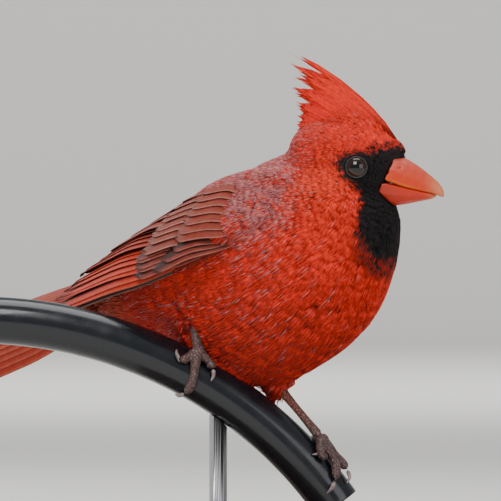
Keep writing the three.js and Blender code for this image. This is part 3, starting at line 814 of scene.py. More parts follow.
def tufts(tree, roots, normals, look, barbs, seed):
    """Feathers as fans of barb bunches that follow the skin: points, triangles and colours."""
    random = np.random.default_rng(seed)
    length = feather_length(roots) * random.uniform(0.85, 1.2, len(roots))
    way = lie(roots, normals)
    middle, middle_up, _ = nearest(tree, roots + way * (length * 0.5)[:, None])
    tip, tip_up, _ = nearest(tree, roots + way * length[:, None])
    side = unit(np.cross(normals, way))
    depth = coat_depth(roots)
    spread = np.linspace(-1, 1, barbs)[None, :, None]
    shorter = 1 - 0.3 * spread**2 - random.uniform(0, 0.2, (len(roots), barbs, 1))
    fan = length[:, None, None] * 0.24 * spread
    loose = random.normal(0, 0.05, (len(roots), barbs, 1)) * length[:, None, None]
    lift = depth[:, None, None] * random.uniform(0.75, 1.2, (len(roots), barbs, 1))
    base = roots[:, None] + side[:, None] * fan * 0.25 - normals[:, None] * 0.25
    bend = middle[:, None] + side[:, None] * (fan * 0.75 + loose * 0.5)
    bend = mix(base, bend + middle_up[:, None] * lift * 0.7, mix(0.75, 1.0, shorter))
    ends = tip[:, None] + side[:, None] * (fan + loose) + tip_up[:, None] * lift * 0.85
    ends = mix(bend, ends, shorter)
    # Where the belly meets the pole the feathers hang down over its edge
    hang = step(6, 2, pole_distance(roots)) * step(0.2, 2, np.abs(roots[:, 1]))
    ends[..., 2] -= HANG * hang[:, None]
    bend[..., 2] -= HANG / 3 * hang[:, None]
    paths = np.stack([base, bend, ends], 2).reshape(-1, 3, 3)
    normal = np.repeat(middle_up, barbs, 0)[:, None].repeat(3, 1)
    across = np.repeat(side, barbs, 0)[:, None].repeat(3, 1)
    width = np.repeat(length * 0.024 + 0.045, barbs)[:, None]
    width = width * random.uniform(0.75, 1.25, (len(paths), 1))
    spots, faces, size = strands(paths, across, normal, width, width * 0.6)
    # Each bunch is darker at its root; some end in a grey tip, and no two are quite alike
    one = random.normal(1.0, 0.09, (len(paths), 1))
    tone = one * np.repeat(random.normal(1, 0.06, len(roots)), barbs)[:, None]
    here, grey = markings(roots, look)
    here, grey = np.repeat(here, barbs, 0), np.repeat(grey, barbs)
    far, _ = markings(ends.reshape(-1, 3), look)
    tipped = (random.random(len(paths)) < grey)[:, None]
    frost = np.array(look.frost) * random.uniform(0.8, 1.15, (len(paths), 1))
    shades = np.empty((len(paths), size, 3))
    shades[:, 0] = here * 0.6 * tone
    shades[:, 1:-1] = (mix(here * 0.92 * tone, frost, 0.4 * tipped))[:, None]
    shades[:, -1] = mix(far * 1.15 * tone, frost, 0.75 * tipped)
    return spots, faces, shades.reshape(-1, 3), size * barbs


class CoatSettings(bpy.types.PropertyGroup):
    crown: FloatVectorProperty(
        name="Crown", description="Bright red of head and upper breast", subtype="COLOR",
        default=linear("#e2301a"),
    )
    cheek: FloatVectorProperty(
        name="Cheek", description="Orange-red of the cheek", subtype="COLOR",
        default=linear("#ee4f2e"),
    )
    breast: FloatVectorProperty(
        name="Breast", description="Red of the breast", subtype="COLOR", default=linear("#da2a15")
    )
    belly: FloatVectorProperty(
        name="Belly", description="Deeper red of belly and flanks", subtype="COLOR",
        default=linear("#c8281a"),
    )
    back: FloatVectorProperty(
        name="Back", description="Brown-red of the back under its grey tips", subtype="COLOR",
        default=linear("#a8483e"),
    )
    covert: FloatVectorProperty(
        name="Small coverts", description="Red-brown of the wing's smallest coverts",
        subtype="COLOR", default=linear("#8e2c1c"),
    )
    frost: FloatVectorProperty(
        name="Grey tips", description="Grey-lilac tips of nape, back and shoulder",
        subtype="COLOR", default=linear("#b59a9e"),
    )
    vent: FloatVectorProperty(
        name="Vent", description="Dusky red under the tail", subtype="COLOR",
        default=linear("#9a4a30"),
    )
    mask: FloatVectorProperty(
        name="Mask", description="Black of face and bib", subtype="COLOR", default=linear("#161517")
    )
    closeness: FloatProperty(
        name="Closeness", description="Gap between feathers as a share of their length",
        default=0.19, min=0.15, max=0.6,
    )
    barbs: IntProperty(
        name="Barb bunches", description="Bunches of barbs in one body feather",
        default=15, min=3, max=21,
    )
    voxel: FloatProperty(
        name="Skin detail", description="Size of the skin's faces", default=0.0009,
        unit="LENGTH", subtype="DISTANCE",
    )


SKIN_NODES = ("torso", "neck", "head", "thigh_left")
SKIN_SWELL = 0.25  # closes the hairline gaps between the solids before they become one
DEEPEST = 3.2  # the most that the skin may move


class CARDINAL_OT_skin(bpy.types.Operator):
    """One skin under the plumage of body, neck, head and thigh, with the crest's low core"""

    bl_idname = "cardinal.skin"
    bl_label = "Skin"

    def execute(self, context):
        look = context.scene.cardinal_coat
        skin = copied("skin", *SKIN_NODES)
        applied(skin, "DISPLACE", strength=SKIN_SWELL * MM, mid_level=0.0)
        forms = [crest_core(), *(soft_form(*sizes) for sizes in SOFT_FORMS)]
        forms += [wing_pad(wing_sheet(side), *sizes) for side in (-1, 1) for sizes in PADS]
        select_only(skin, *forms)
        bpy.ops.object.join()
        applied(skin, "REMESH", mode="VOXEL", voxel_size=look.voxel, use_smooth_shade=True)
        applied(skin, "SMOOTH", factor=0.5, iterations=8)
        # Sinks it under the coat, and presses it out a little where it meets the pole
        depth = (coat_depth(vertices_of(skin)) + SKIN_SWELL) / DEEPEST
        for label, way in (("In", -1), ("Out", 1)):
            group = skin.vertex_groups.new(name=label)
            for index, share in enumerate(np.clip(-way * depth, 0, 1)):
                group.add([index], float(share), "REPLACE")
            applied(
                skin, "DISPLACE", strength=way * DEEPEST * MM, mid_level=0.0, vertex_group=label
            )
        skin.vertex_groups.clear()
        shade, grey = markings(vertices_of(skin), look)
        paint(skin.data, washed(shade, look.frost, 0.4 * grey) * 0.7)
        for layer in list(skin.data.uv_layers):
            skin.data.uv_layers.remove(layer)
        skin.data.uv_layers.new(name="OFBake")
        with editing(skin):
            bpy.ops.uv.smart_project(angle_limit=math.radians(75), island_margin=0.002)
        give(skin, "plumage", SKIN_NODES)
        return {"FINISHED"}


def crest_core():
    """A core inside the crest: a ball mapped on its sheet, thick on the crown and thin above."""
    core = sphere(48, 32)
    ball = vertices_of(core) * MM
    flat = ball[:, [0, 2]]
    corner = np.linalg.norm(flat, axis=1) / np.maximum(np.abs(flat).max(1), 1e-9)
    square = flat * corner[:, None]
    k = np.clip((1 - square[:, 0]) / 2, 0, 1)
    t = mix(-0.1, 0.68, (square[:, 1] + 1) / 2)
    spots = crest_sheet(k, t)
    thick = mix(2.2, 7.6, np.sin(math.pi * np.clip(0.12 + k * 0.8, 0, 1)))
    spots[:, 1] = ball[:, 1] * (thick * (1 - 0.8 * np.clip(t / 0.68, 0, 1) ** 1.3))
    move_vertices(core, from_head(spots))
    face_outwards(core)
    return core


# Where soft forms are measured: an origin and a turn about the vertical
FRAMES = {"body": (BODY_AT, BODY_YAW), "head": (HEAD_AT, HEAD_YAW)}

# Soft forms that the solids leave plain: the frame, middle, lean in degrees and half sizes of
# each ellipsoid: the long coverts under the tail, the forehead, the left leg's feathering and
# the loose feathers of the vent.
SOFT_FORMS = (
    ("body", (-77, 0, -11.5), -17, (21, 9, 5.6)),
    ("head", (14.2, 0, 3.8), 0, (6.9, 5.4, 5.8)),
    ("body", (-6.6, 3, -33.5), 66, (8.5, 4.0, 4.0)),
    ("body", (-50.5, 0, -15.4), 19.7, (18, 9, 5.4)),
)


def soft_form(where, middle, lean, sizes):
    """An ellipsoid form in one of the frames."""
    form = sphere(32, 24)
    at, yaw = FRAMES[where]
    place = (
        Matrix.Translation(Vector(at) * MM)
        @ Matrix.Rotation(yaw, 4, "Z")
        @ Matrix.Translation(Vector(middle) * MM)
        @ Matrix.Rotation(math.radians(lean), 4, "Y")
        @ Matrix.Diagonal((*(Vector(sizes) * MM), 1))
    )
    form.data.transform(place)
    return form


PATCH = 0.0015  # half a feather's patch as a share of the map


def patches(skin, tree, roots, per_feather, spots, reach):
    """UVs for tufts: each feather is a small patch at its root's place on the skin's unwrap."""
    mesh = skin.data
    _, _, faces = nearest(tree, roots)
    starts = np.empty(len(mesh.polygons), np.int32)
    mesh.polygons.foreach_get("loop_start", starts)
    uv = np.empty(len(mesh.loops) * 2, np.float32)
    mesh.uv_layers["OFBake"].data.foreach_get("uv", uv)
    uv = uv.reshape(-1, 2)
    root_uv = (uv[starts[faces]] + uv[starts[faces] + 2]) / 2
    groups = spots.reshape(len(roots), per_feather, 3)
    local = groups - roots[:, None]
    flat = np.stack([local[..., 0] + local[..., 1], local[..., 2]], -1)
    flat = PATCH * np.clip(flat / reach[:, None, None], -1, 1)
    return (root_uv[:, None] + flat).reshape(-1, 2)


class CARDINAL_OT_coat(bpy.types.Operator):
    """Small body feathers all over the skin, in pieces by region"""

    bl_idname = "cardinal.coat"
    bl_label = "Body feathers"

    def execute(self, context):
        look = context.scene.cardinal_coat
        skin = bpy.data.objects["skin"]
        tree = tree_of(skin)
        closeness = look.closeness * 1
        roots, normals = scattered(skin, lambda p: closeness * feather_length(p), 11)
        kept = clear_of_others(roots, normals)
        roots, normals = roots[kept], normals[kept]
        order = np.argsort(to_body(roots)[:, 0] + 0.9 * to_body(roots)[:, 2])
        parts = math.ceil(len(order) * BARB_TRIANGLES * look.barbs / PIECE_LIMIT)
        for number, chosen in enumerate(np.array_split(order, parts)):
            here, up = roots[chosen], normals[chosen]
            spots, faces, shades, size = tufts(tree, here, up, look, look.barbs, 31 + number)
            maps = {"OFBake": patches(skin, tree, here, size, spots, feather_length(here))}
            piece = mesh_piece(f"coat_{number + 1}", spots, faces, shades, maps)
            give(piece, "plumage")
        return {"FINISHED"}


# How near the coat's roots come to the eye's middle, and to the bill and the pole
LID_CLEARANCE = 4.5
CLEARANCES = {"bill_upper": 0.7, "bill_lower": 0.7, "perch": 0.12}


def clear_of_others(roots, normals):
    """True for roots that are clear of bill, eyes and pole, and that no wing covers."""
    kept = eye_distance(to_head(roots)) > LID_CLEARANCE
    for node, reach in CLEARANCES.items():
        tree = tree_of(NODES[node])
        for i in np.flatnonzero(kept):
            kept[i] = tree.find_nearest(Vector(roots[i]), reach)[0] is None
    body = to_body(roots)
    rear = mix(-21.0, -34.0, step(8, 14, body[:, 2] - 0.42 * body[:, 0]))
    hideable = ~(on_wing(roots) & (body[:, 0] > rear))
    for node in ("wing_right", "wing_left"):
        tree = tree_of(NODES[node])
        for i in np.flatnonzero(kept & hideable):
            kept[i] = tree.ray_cast(Vector(roots[i]), Vector(normals[i]), 9.0)[0] is None
    return kept


# Wings, tail and crest

WING_LENGTH = 99.0
WING_LINE = Curve([
    (6, 30.5, 20), (-16, 30.5, 15.5), (-41, 23.5, 7), (-66, 15.5, -2.5), (-88, 9.5, -11.5),
])


def wing_sheet(side):
    """The curved sheet of a folded wing: p along it, q up across it, h out from the body."""

    def sheet(p, q, h):
        share = np.clip(p / WING_LENGTH, 0, 1)
        along = WING_LINE.way(share)
        spot = WING_LINE.at(share) + along * (p - share * WING_LENGTH)[..., None]
        lean = np.radians(mix(20, 46, share))
        round_ = mix(26, 17, share)
        up = np.stack([0 * lean, -np.sin(lean), np.cos(lean)], -1)
        out = unit(np.cross(along, up))
        out = np.where(out[..., 1:2] < 0, -out, out)
        turn = q / round_
        spot = spot + out * ((round_ + h) * np.cos(turn) - round_)[..., None]
        spot = spot + up * ((round_ + h) * np.sin(turn))[..., None]
        return from_body(spot * np.array([1, side, 1]))

    return sheet


TAIL_AT = np.array([-72, 0, -6.6])
TAIL_DROP = math.radians(21)
TAIL_ROLL = math.radians(50)
TAIL_PAIRS = 6
TAIL_LENGTH = 100.0  # the longest pair; the others are a little shorter
TAIL_WIDTH = 9.6


def tail_sheet(p, q, h):
    """The tail's sheet: p along it, q to the bird's left, h up from it; it arches across."""
    drop, roll = TAIL_DROP, TAIL_ROLL
    along = np.array([-math.cos(drop), 0, -math.sin(drop)])
    left = np.array(
        [-math.sin(drop) * math.sin(roll), math.cos(roll), math.cos(drop) * math.sin(roll)]
    )
    up = np.cross(left, along)
    h = h - 0.022 * q * q + 0.0006 * p * p
    spot = TAIL_AT + along * p[..., None] + left * q[..., None] + up * h[..., None]
    return from_body(spot)


def outline_share(s, tip):
    """A feather's half width along it, as a share: narrow root, parallel sides, rounded tip."""
    root = 0.5 + 0.5 * step(0, 0.3, s)
    end = np.sqrt(np.clip(1 - ((s - tip) / (1 - tip)) ** 2, 0.004, 1))
    return np.where(s > tip, root * end, root)


# Where a vane's lines run along it, from its outer edge at -1; closest where it is seen
ACROSS = np.array([-1, -0.93, -0.8, -0.62, -0.42, -0.2, 0.1, 0.5, 1])
RAGGED = 0.1  # how uneven a vane's end is
ROUNDED = 0.82  # where along a vane its tip begins to round off


def vane(sheet, root, tip, width, shades, slope, along, seed, outer=-1):
    """One feather on a sheet: a thin closed vane with a raised shaft and slightly ragged end.
    root and tip are (p, q, h); shades gives colours from (share along, share across)."""
    random = np.random.default_rng(seed)
    run = np.array([tip[0] - root[0], tip[1] - root[1]])
    length = np.hypot(*run)
    run = run / length
    s = np.linspace(0, 1, along)[:, None] ** 0.9
    u = np.sort(-outer * ACROSS)[None, :]
    across = len(ACROSS)
    half = width / 2 * outline_share(s, ROUNDED)
    jag = 1 + RAGGED * random.normal(size=(1, across)) * step(0.7, 1, s) * 0.25
    side = half * u
    p = mix(root[0], tip[0], s * jag) - run[1] * side
    q = mix(root[1], tip[1], s * jag) + run[0] * side
    crown = 0.22 * (1 - u * u) - 0.05 * np.abs(u)
    shaft = 0.22 * np.exp(-((u / 0.12) ** 2)) * (1 - 0.75 * s)
    h = mix(root[2], tip[2], step(0.02, 0.5, s)) - slope * side + crown * width / 5
    thin = 0.13 + 0.12 * (1 - u * u) * (1 - 0.6 * s)
    faces_out, faces_in = sheet(p, q, h + thin + shaft), sheet(p, q, h - thin)
    points = np.concatenate([faces_out.reshape(-1, 3), faces_in.reshape(-1, 3)])
    grid = np.arange(along * across).reshape(along, across)
    a, b, c, d = grid[:-1, :-1], grid[1:, :-1], grid[1:, 1:], grid[:-1, 1:]
    top = [np.stack([a, b, c], -1).reshape(-1, 3), np.stack([a, c, d], -1).reshape(-1, 3)]
    top = np.concatenate(top)
    under = top[:, ::-1] + along * across
    rim = np.concatenate([grid[:, 0], grid[-1, 1:], grid[-2::-1, -1], grid[0, -2:0:-1]])
    ahead = np.roll(rim, -1)
    low, low_ahead = rim + along * across, ahead + along * across
    walls = [np.stack([rim, low, low_ahead], -1), np.stack([rim, low_ahead, ahead], -1)]
    faces = outward(points, np.concatenate([top, under, *walls]))
    paints = shades(s + 0 * u, u + 0 * s)
    paints = np.concatenate([paints.reshape(-1, 3), (paints * 0.75).reshape(-1, 3)])
    place = np.stack([side + 0 * s, s * length + 0 * u], -1).reshape(-1, 2)
    return points, faces, paints, np.concatenate([place, place])


def joined_vanes(name, vanes, node):
    """Joins vanes as one piece; each has its own strip in the OFBake map."""
    points, faces, paints, places, strips, start = [], [], [], [], [], 0
    columns = math.ceil(math.sqrt(len(vanes) * 2))
    cell = 1 / columns
    for number, (spots, triangles, shades, place) in enumerate(vanes):
        points.append(spots)
        faces.append(triangles + start)
        paints.append(shades)
        places.append(place)
        start += len(spots)
        low, high = place.min(0), place.max(0)
        share = (place - low) / (high - low)
        half = len(place) // 2
        for face in (0, 1):
            cell_at = number * 2 + face
            corner = np.array([cell_at % columns, cell_at // columns]) * cell
            strips.append(corner + (0.04 + 0.92 * share[:half]) * cell)
    maps = {"Vane": np.concatenate(places), "OFBake": np.concatenate(strips)}
    arrays = (np.concatenate(part) for part in (points, faces, paints))
    give(mesh_piece(name, *arrays, maps), "vane", [node])


def webbed(look, outer=-1, seen=-0.45, tip_dark=0.5):
    """Colours for a vane, by its outer side: bright outer web with a pale fringe, and dark
    from the share across where the next feather covers it; a dusky tip."""
    base, fringe, dark, tip = (colour(c) for c in look)

    def shades(s, u):
        u = -outer * u
        made = base + np.zeros((*s.shape, 3))
        made = washed(made, fringe, 0.8 * step(-0.8, -0.97, u))
        made = washed(made, fringe, 0.7 * step(0.95, 1.0, s) * step(-0.2, -0.9, u))
        made = washed(made, dark, 0.9 * step(seen - 0.2, seen, u))
        return washed(made, tip, tip_dark * step(0.78, 0.96, s))

    return shades


# Colours of a feather: web, fringe, dark part, tip. The folded wing's rows go from the inner
# layer out.
PRIMARY = ("#b82d12", "#b4503a", "#220a07", "#4e2c26")
SECONDARY = ("#962a1a", "#a4503e", "#42120c", "#562a24")
TERTIAL = ("#82301f", "#a8685c", "#531d14", "#6e4438")
DULL = ("#5a3c34", "#80645a", "#200f0c", "#4a3a36")
HAND_COVERT = ("#7a2a1c", "#a06052", "#331410", "#211818")
COVERT = ("#80301f", "#b0766a", "#5e2218", "#7a4c42")
SMALL_COVERT = ("#83301f", "#a5685c", "#662519", "#784438")
TAIL_FEATHER = ("#8c2410", "#a0462e", "#4a160b", "#5c2619")

# The rows: how many, first and last root (p, q), first and last tip (p, q), width, height over
# the sheet, how far the roots dive under the feathers in front of them, and colours.
WING_ROWS = (
    (2, (36, -10.4), (36, -9.6), (96, -5.4), (95, -4.6), 4.4, -0.3, 3.4, DULL),
    (7, (34, -9), (34, 3), (94, -3.8), (87, 7), 6.2, 0.2, 3.4, PRIMARY),
    (6, (32, 4), (30, 14), (84, 8), (71, 16), 6.6, 1.3, 3.4, SECONDARY),
    (4, (26, 10), (18, 19), (70, 12), (48, 20), 8.4, 2.4, 3.4, TERTIAL),
    (5, (20, -9.4), (21, -3.5), (48, -7.6), (47, -2.2), 4.6, 2.1, 3.4, HAND_COVERT),
    (8, (15, -3.5), (9, 12), (43, -1.6), (34, 13.5), 5.4, 3.3, 3.4, COVERT),
    (3, (7, -7.4), (9, -4.9), (37, -9.8), (28, -5.6), 4.6, 3.5, 7.5, HAND_COVERT),
    (7, (6, -4), (2, 10), (26, -3), (21, 11), 5.0, 4.3, 4.8, SMALL_COVERT),
)


class WingSettings(bpy.types.PropertyGroup):
    thickness: FloatProperty(
        name="Vane width", description="Widens or narrows every flight feather and covert",
        default=1.0, min=0.6, max=1.4,
    )
    detail: IntProperty(
        name="Rings", description="Rings along each vane", default=16, min=6, max=40
    )


class CARDINAL_OT_wings(bpy.types.Operator):
    """Folded wings: primaries, secondaries, tertials and rows of coverts as shingled vanes"""

    bl_idname = "cardinal.wings"
    bl_label = "Wings"

    def execute(self, context):
        settings = context.scene.cardinal_wings
        for side, name in ((-1, "right"), (1, "left")):
            sheet = wing_sheet(side)
            vanes = []
            for number, row in enumerate(WING_ROWS):
                count, root_a, root_b, tip_a, tip_b, width, height, dip, look = row
                gap = abs(root_b[1] - root_a[1]) / (count - 1)
                for i in range(count):
                    k = i / (count - 1)
                    root = mix(np.array(root_a), np.array(root_b), k)
                    tip = mix(np.array(tip_a), np.array(tip_b), k)
                    wobble = np.random.default_rng(100 * number + i).normal(0, 0.4, 2)
                    vanes.append(
                        vane(
                            sheet,
                            (*root, height - dip),
                            (*(tip + wobble), height),
                            width * settings.thickness,
                            webbed(look, seen=2 * gap / width - 0.95),
                            slope=min(0.42, 0.85 / gap),
                            along=settings.detail,
                            seed=10 * number + i,
                        )
                    )
            joined_vanes(f"wing_feathers_{name}", vanes, f"wing_{name}")
        return {"FINISHED"}


# The pads under the wing's rows, on its sheet: where p begins and ends, middle q, half height
# and thickness. The first is the shoulder, the second the scapulars over it.
PADS = ((-3.0, 42.0, 3.6, 12.6, 5.0), (-8.0, 34.0, 13.5, 8.0, 6.2))


def wing_pad(sheet, start, end, middle, half, out):
    """A padded form on the wing's sheet, so that the rows have something to lie on."""
    pad = sphere(40, 24)
    x, y, z = (vertices_of(pad) * MM).T
    ring = np.sqrt(np.clip(1 - z * z, 0, 1)) ** 0.7
    turn = np.arctan2(y, x)
    q = middle + np.cos(turn) * half * mix(1, 0.86, (1 - z) / 2) * ring
    thick = np.where(np.sin(turn) > 0, out, 7)
    made = sheet(mix(start, end, (1 - z) / 2), q, np.sin(turn) * thick * ring - 0.6)
    move_vertices(pad, made)
    face_outwards(pad)
    return pad


class CARDINAL_OT_tail(bpy.types.Operator):
    """Twelve long tail feathers, overlapping like a closed fan"""

    bl_idname = "cardinal.tail"
    bl_label = "Tail"

    def execute(self, context):
        settings = context.scene.cardinal_wings
        vanes = []
        for side in (-1, 1):
            for k in range(TAIL_PAIRS):
                order = k * 0.86 + (0.5 if side > 0 else 0.15)
                length = TAIL_LENGTH - 1.2 * abs(k - 2)
                vanes.append(
                    vane(
                        tail_sheet,
                        (3, side * order * 2.2, 0.5 if side > 0 else 0.0),
                        (length, side * order * 2.8, 1.3 if side > 0 else 0.0),
                        TAIL_WIDTH,
                        webbed(TAIL_FEATHER, outer=side, tip_dark=0.3),
                        outer=side,
                        slope=-side * 0.3,
                        along=settings.detail + 8,
                        seed=500 + 10 * k + side,
                    )
                )
        joined_vanes("tail_feathers", vanes, "tail")
        return {"FINISHED"}


class CrestSettings(bpy.types.PropertyGroup):
    locks: IntProperty(
        name="Locks", description="Feathers in the crest", default=300, min=40, max=900
    )
    strands: IntProperty(
        name="Barb bunches", description="Barb bunches in one crest feather",
        default=9, min=3, max=20,
    )
    points: IntProperty(
        name="Points", description="Ragged points along the crest's back edge",
        default=9, min=3, max=20,
    )


# A crest feather's path: the shares of its length where it is read, and there how far it lies
# off the crest's middle plane, how wide its barbs fan and how wide each bunch is
CREST_READ = np.array([0.05, 0.25, 0.45, 0.65, 0.84, 1.0])
CREST_ASIDE = np.array([0.7, 0.85, 0.8, 0.6, 0.36, 0.14])
CREST_FAN = np.array([0.3, 0.6, 0.7, 0.62, 0.4, 0.06])
CREST_BUNCH = np.array([0.22, 0.27, 0.24, 0.17])
CREST_TONES = np.array([0.6, *np.repeat([0.75, 0.88, 0.95, 0.98], 3), 0.95])
CREST_RED, CREST_FRONT = colour("#dc240f"), colour("#e63c20")
GOLDEN_TURN = 2.399  # radians; it spreads the feathers evenly over the crest's thickness


class CARDINAL_OT_crest(bpy.types.Operator):
    """The raised crest, feather by feather, each a tapering bunch of barbs"""

    bl_idname = "cardinal.crest"
    bl_label = "Crest"

    def execute(self, context):
        settings = context.scene.cardinal_crest
        random = np.random.default_rng(77)
        count, bunch = settings.locks, settings.strands
        k = np.linspace(0, 1, count) ** 1.2
        side = np.sin(np.arange(count) * GOLDEN_TURN)
        layer = np.abs(side)
        # Neighbouring feathers draw together in points, longest along the middle plane
        points = settings.points
        joints = np.linspace(0, 1, points) + np.append(0, random.normal(0, 0.022, points - 1))
        mine = np.abs(k[:, None] - joints).argmin(1)
        joint = joints[mine]
        point = np.clip(1 - np.abs(k - joint) * 1.6 * points, 0, 1)
        length = np.append([1.03, 1.0], random.uniform(0.94, 1.03, points - 2))[mine]
        reach = mix(1.02, 0.74, layer**1.5) * mix(0.88, 1.0, point) * length
        reach = reach * random.uniform(0.95, 1.0, count)
        wide = mix(0.6, 6.2, np.sin(math.pi * np.clip(0.04 + k * 0.86, 0, 1))) * side
        t = CREST_READ * reach[:, None]
        pull = mix(0.8, 0.25, step(0.35, 0.8, k))[:, None] * step(0.55, 1.05, t)
        stray = 0.02 * step(0.5, 1, t) * random.normal(size=(count, 1))
        path = crest_sheet(np.clip(mix(k[:, None], joint[:, None], pull) + stray, 0, 1), t)
        path[:, :, 1] += wide[:, None] * CREST_ASIDE
        spread = np.linspace(-1, 1, bunch)
        offsets = random.normal(0, 0.16, (count, bunch)) + spread
        fan = offsets[..., None, None] * CREST_FAN[:, None]
        ways = unit(np.gradient(path, axis=1))
        out = unit(np.stack([0 * k, np.sign(side) * (0.4 + layer), 0.3 + 0 * k], 1))[:, None]
        cross = unit(np.cross(ways, np.broadcast_to(out, ways.shape)))
        face = unit(np.cross(cross, ways))
        paths = path[:, None] + cross[:, None] * fan
        paths[:, :, -1] += ways[:, None, -1] * random.uniform(-2.4, 0.2, (count, bunch, 1))
        paths = from_head(paths.reshape(-1, 6, 3))
        across = cross[:, None].repeat(bunch, 1).reshape(-1, 6, 3) @ turned(HEAD_YAW).T
        normal = face[:, None].repeat(bunch, 1).reshape(-1, 6, 3) @ turned(HEAD_YAW).T
        width = CREST_BUNCH * random.uniform(0.8, 1.2, (len(paths), 1))
        spots, faces, size = strands(paths, across, normal, width, width * 0.6)
        front = np.repeat(step(0.4, 0.0, k), bunch)
        tone = random.normal(1, 0.1, (len(paths), 1))
        shade = washed(CREST_RED, CREST_FRONT, 0.35 * front) * tone
        shades = shade[:, None] * CREST_TONES[:, None]
        skin = bpy.data.objects["skin"]
        roots, reaches = from_head(path[:, 0]), np.full(count, 40.0)
        maps = {"OFBake": patches(skin, tree_of(skin), roots, size * bunch, spots, reaches)}
        piece = mesh_piece("crest_feathers", spots, faces, shades.reshape(-1, 3), maps)
        give(piece, "plumage", ["crest"])
        return {"FINISHED"}


# Bill, eyes, legs and claws

BILL_CLOSING = 0.13  # how far each half swells so that the bill looks shut


class CARDINAL_OT_bill(bpy.types.Operator):
    """Both halves of the bill, smooth, with the sheath's colours and, along the top of the upper
    half, a painted highlight
    """

    bl_idname = "cardinal.bill"
    bl_label = "Bill"

    def execute(self, context):
        for half in ("upper", "lower"):
            piece = refined(copied(f"bill_sheath_{half}", f"bill_{half}"), 0.28, 5)
            applied(piece, "DISPLACE", strength=BILL_CLOSING * MM, mid_level=0.0)
            hx, _, hz = to_head(vertices_of(piece)).T
            uneven = ripple(vertices_of(piece), 3.0, 61)
            if half == "upper":
                over = hz + 0.36 * (hx - 14)  # how far up from the line the bill points along
                # Painted highlight: along the top of the upper half a pinker red stands for the
                # sheen that the light lays there
                high = step(-3.5, 3.5, over + 0.5 * uneven)
                shade = washed(colour("#c83202"), colour("#b84a3a"), 0.8 * high)
                rim = step(1.8, 0.2, over + 5.2)
                shade = washed(shade, colour("#d8661c"), 0.7 * rim)
            else:
                shade = washed(colour("#bc2602"), colour("#a02c1a"), 0.8 * step(22, 12, hx))
            # Paler towards the tip, and its very end dusky
            shade = washed(shade, colour("#c98a5c"), 0.7 * step(26, 34, hx))
            shade = washed(shade, colour("#6d5148"), 0.5 * step(32.6, 34.4, hx))
            paint(piece.data, shade * (1 + 0.03 * uneven)[:, None])
            give(piece, "horn", [f"bill_{half}"])
        return {"FINISHED"}


class EyeSettings(bpy.types.PropertyGroup):
    radius: FloatProperty(
        name="Eyeball radius", description="Radius of the eyeball", default=0.0041,
        unit="LENGTH", subtype="DISTANCE",
    )
    pupil: FloatProperty(
        name="Pupil radius", description="Radius of the pupil", default=0.0019,
        unit="LENGTH", subtype="DISTANCE",
    )
    iris: FloatVectorProperty(
        name="Iris", description="Dark brown of the iris", subtype="COLOR",
        default=linear("#28150e"),
    )


# The left eyeball's middle in the head frame, the way it looks, and its ring of lids
EYE_AT = np.array([5.9, 10.5, -1.2])
EYE_OUT = np.array([0.16, 1.0, 0.06])
LID_OUT = 2.45
LID_RADIUS = 3.4
LID_THICKNESS = 0.36


class CARDINAL_OT_eyes(bpy.types.Operator):
    """Eyeballs with iris and pupil, each in a ring of bare lid skin"""

    bl_idname = "cardinal.eyes"
    bl_label = "Eyes"

    def execute(self, context):
        settings = context.scene.cardinal_eyes
        for side, name in ((-1, "right"), (1, "left")):
            at = from_head((EYE_AT * [1, side, 1])[None])[0]
            out = unit(EYE_OUT * [1, side, 1]) @ turned(HEAD_YAW).T
            globe = sphere(64, 48, settings.radius)
            globe.name = f"eyeball_{name}"
            globe.data.transform(aimed(at, out))
            away = vertices_of(globe) - at
            height = away @ out
            radial = np.linalg.norm(away - height[:, None] * out, axis=1)
            streak = 0.12 * np.sin(np.arctan2(away[:, 2], away @ np.cross(out, [0, 0, 1])) * 23)
            iris = np.array(settings.iris) * (1 + streak)[:, None]
            dark = step(settings.pupil / MM + 0.1, settings.pupil / MM - 0.1, radial)
            dark = np.maximum(dark, step(3.0, 3.5, radial))
            paint(globe.data, washed(iris, colour("#050404"), dark))
            give(globe, "eye", [f"eye_{name}"])
            lid = eye_ring(f"eyelid_{name}", at + out * LID_OUT, out)
            give(lid, "lid")
        return {"FINISHED"}


def aimed(at, out):
    """A placing: at a point in millimetres, with +Z turned to look along out."""
    turn = Vector((0, 0, 1)).rotation_difference(Vector(out)).to_matrix().to_4x4()
    return Matrix.Translation(Vector(at) * MM) @ turn


def eye_ring(name, at, out):
    """The lids' edge: a thin ring, beaded like the real rim."""
    bpy.ops.object.select_all(action="DESELECT")
    bpy.ops.mesh.primitive_torus_add(
        major_radius=LID_RADIUS * MM, minor_radius=LID_THICKNESS * MM,
        major_segments=96, minor_segments=14,
    )
    ring = bpy.context.object
    ring.name = name
    spots = vertices_of(ring)
    beads = np.arctan2(spots[:, 1], spots[:, 0]) * 34
    spots[:, :2] *= (1 + 0.012 * np.sin(beads))[:, None]
    spots[:, 2] += 0.06 * np.cos(beads)
    move_vertices(ring, spots)
    ring.data.transform(aimed(at, out))
    return ring


class LegSettings(bpy.types.PropertyGroup):
    skin: FloatVectorProperty(
        name="Scales", description="Grey-pink of the scaled skin", subtype="COLOR",
        default=linear("#5e4541"),
    )
    shank: FloatVectorProperty(
        name="Far shank", description="Redder skin of the left shank", subtype="COLOR",
        default=linear("#8a4a3c"),
    )


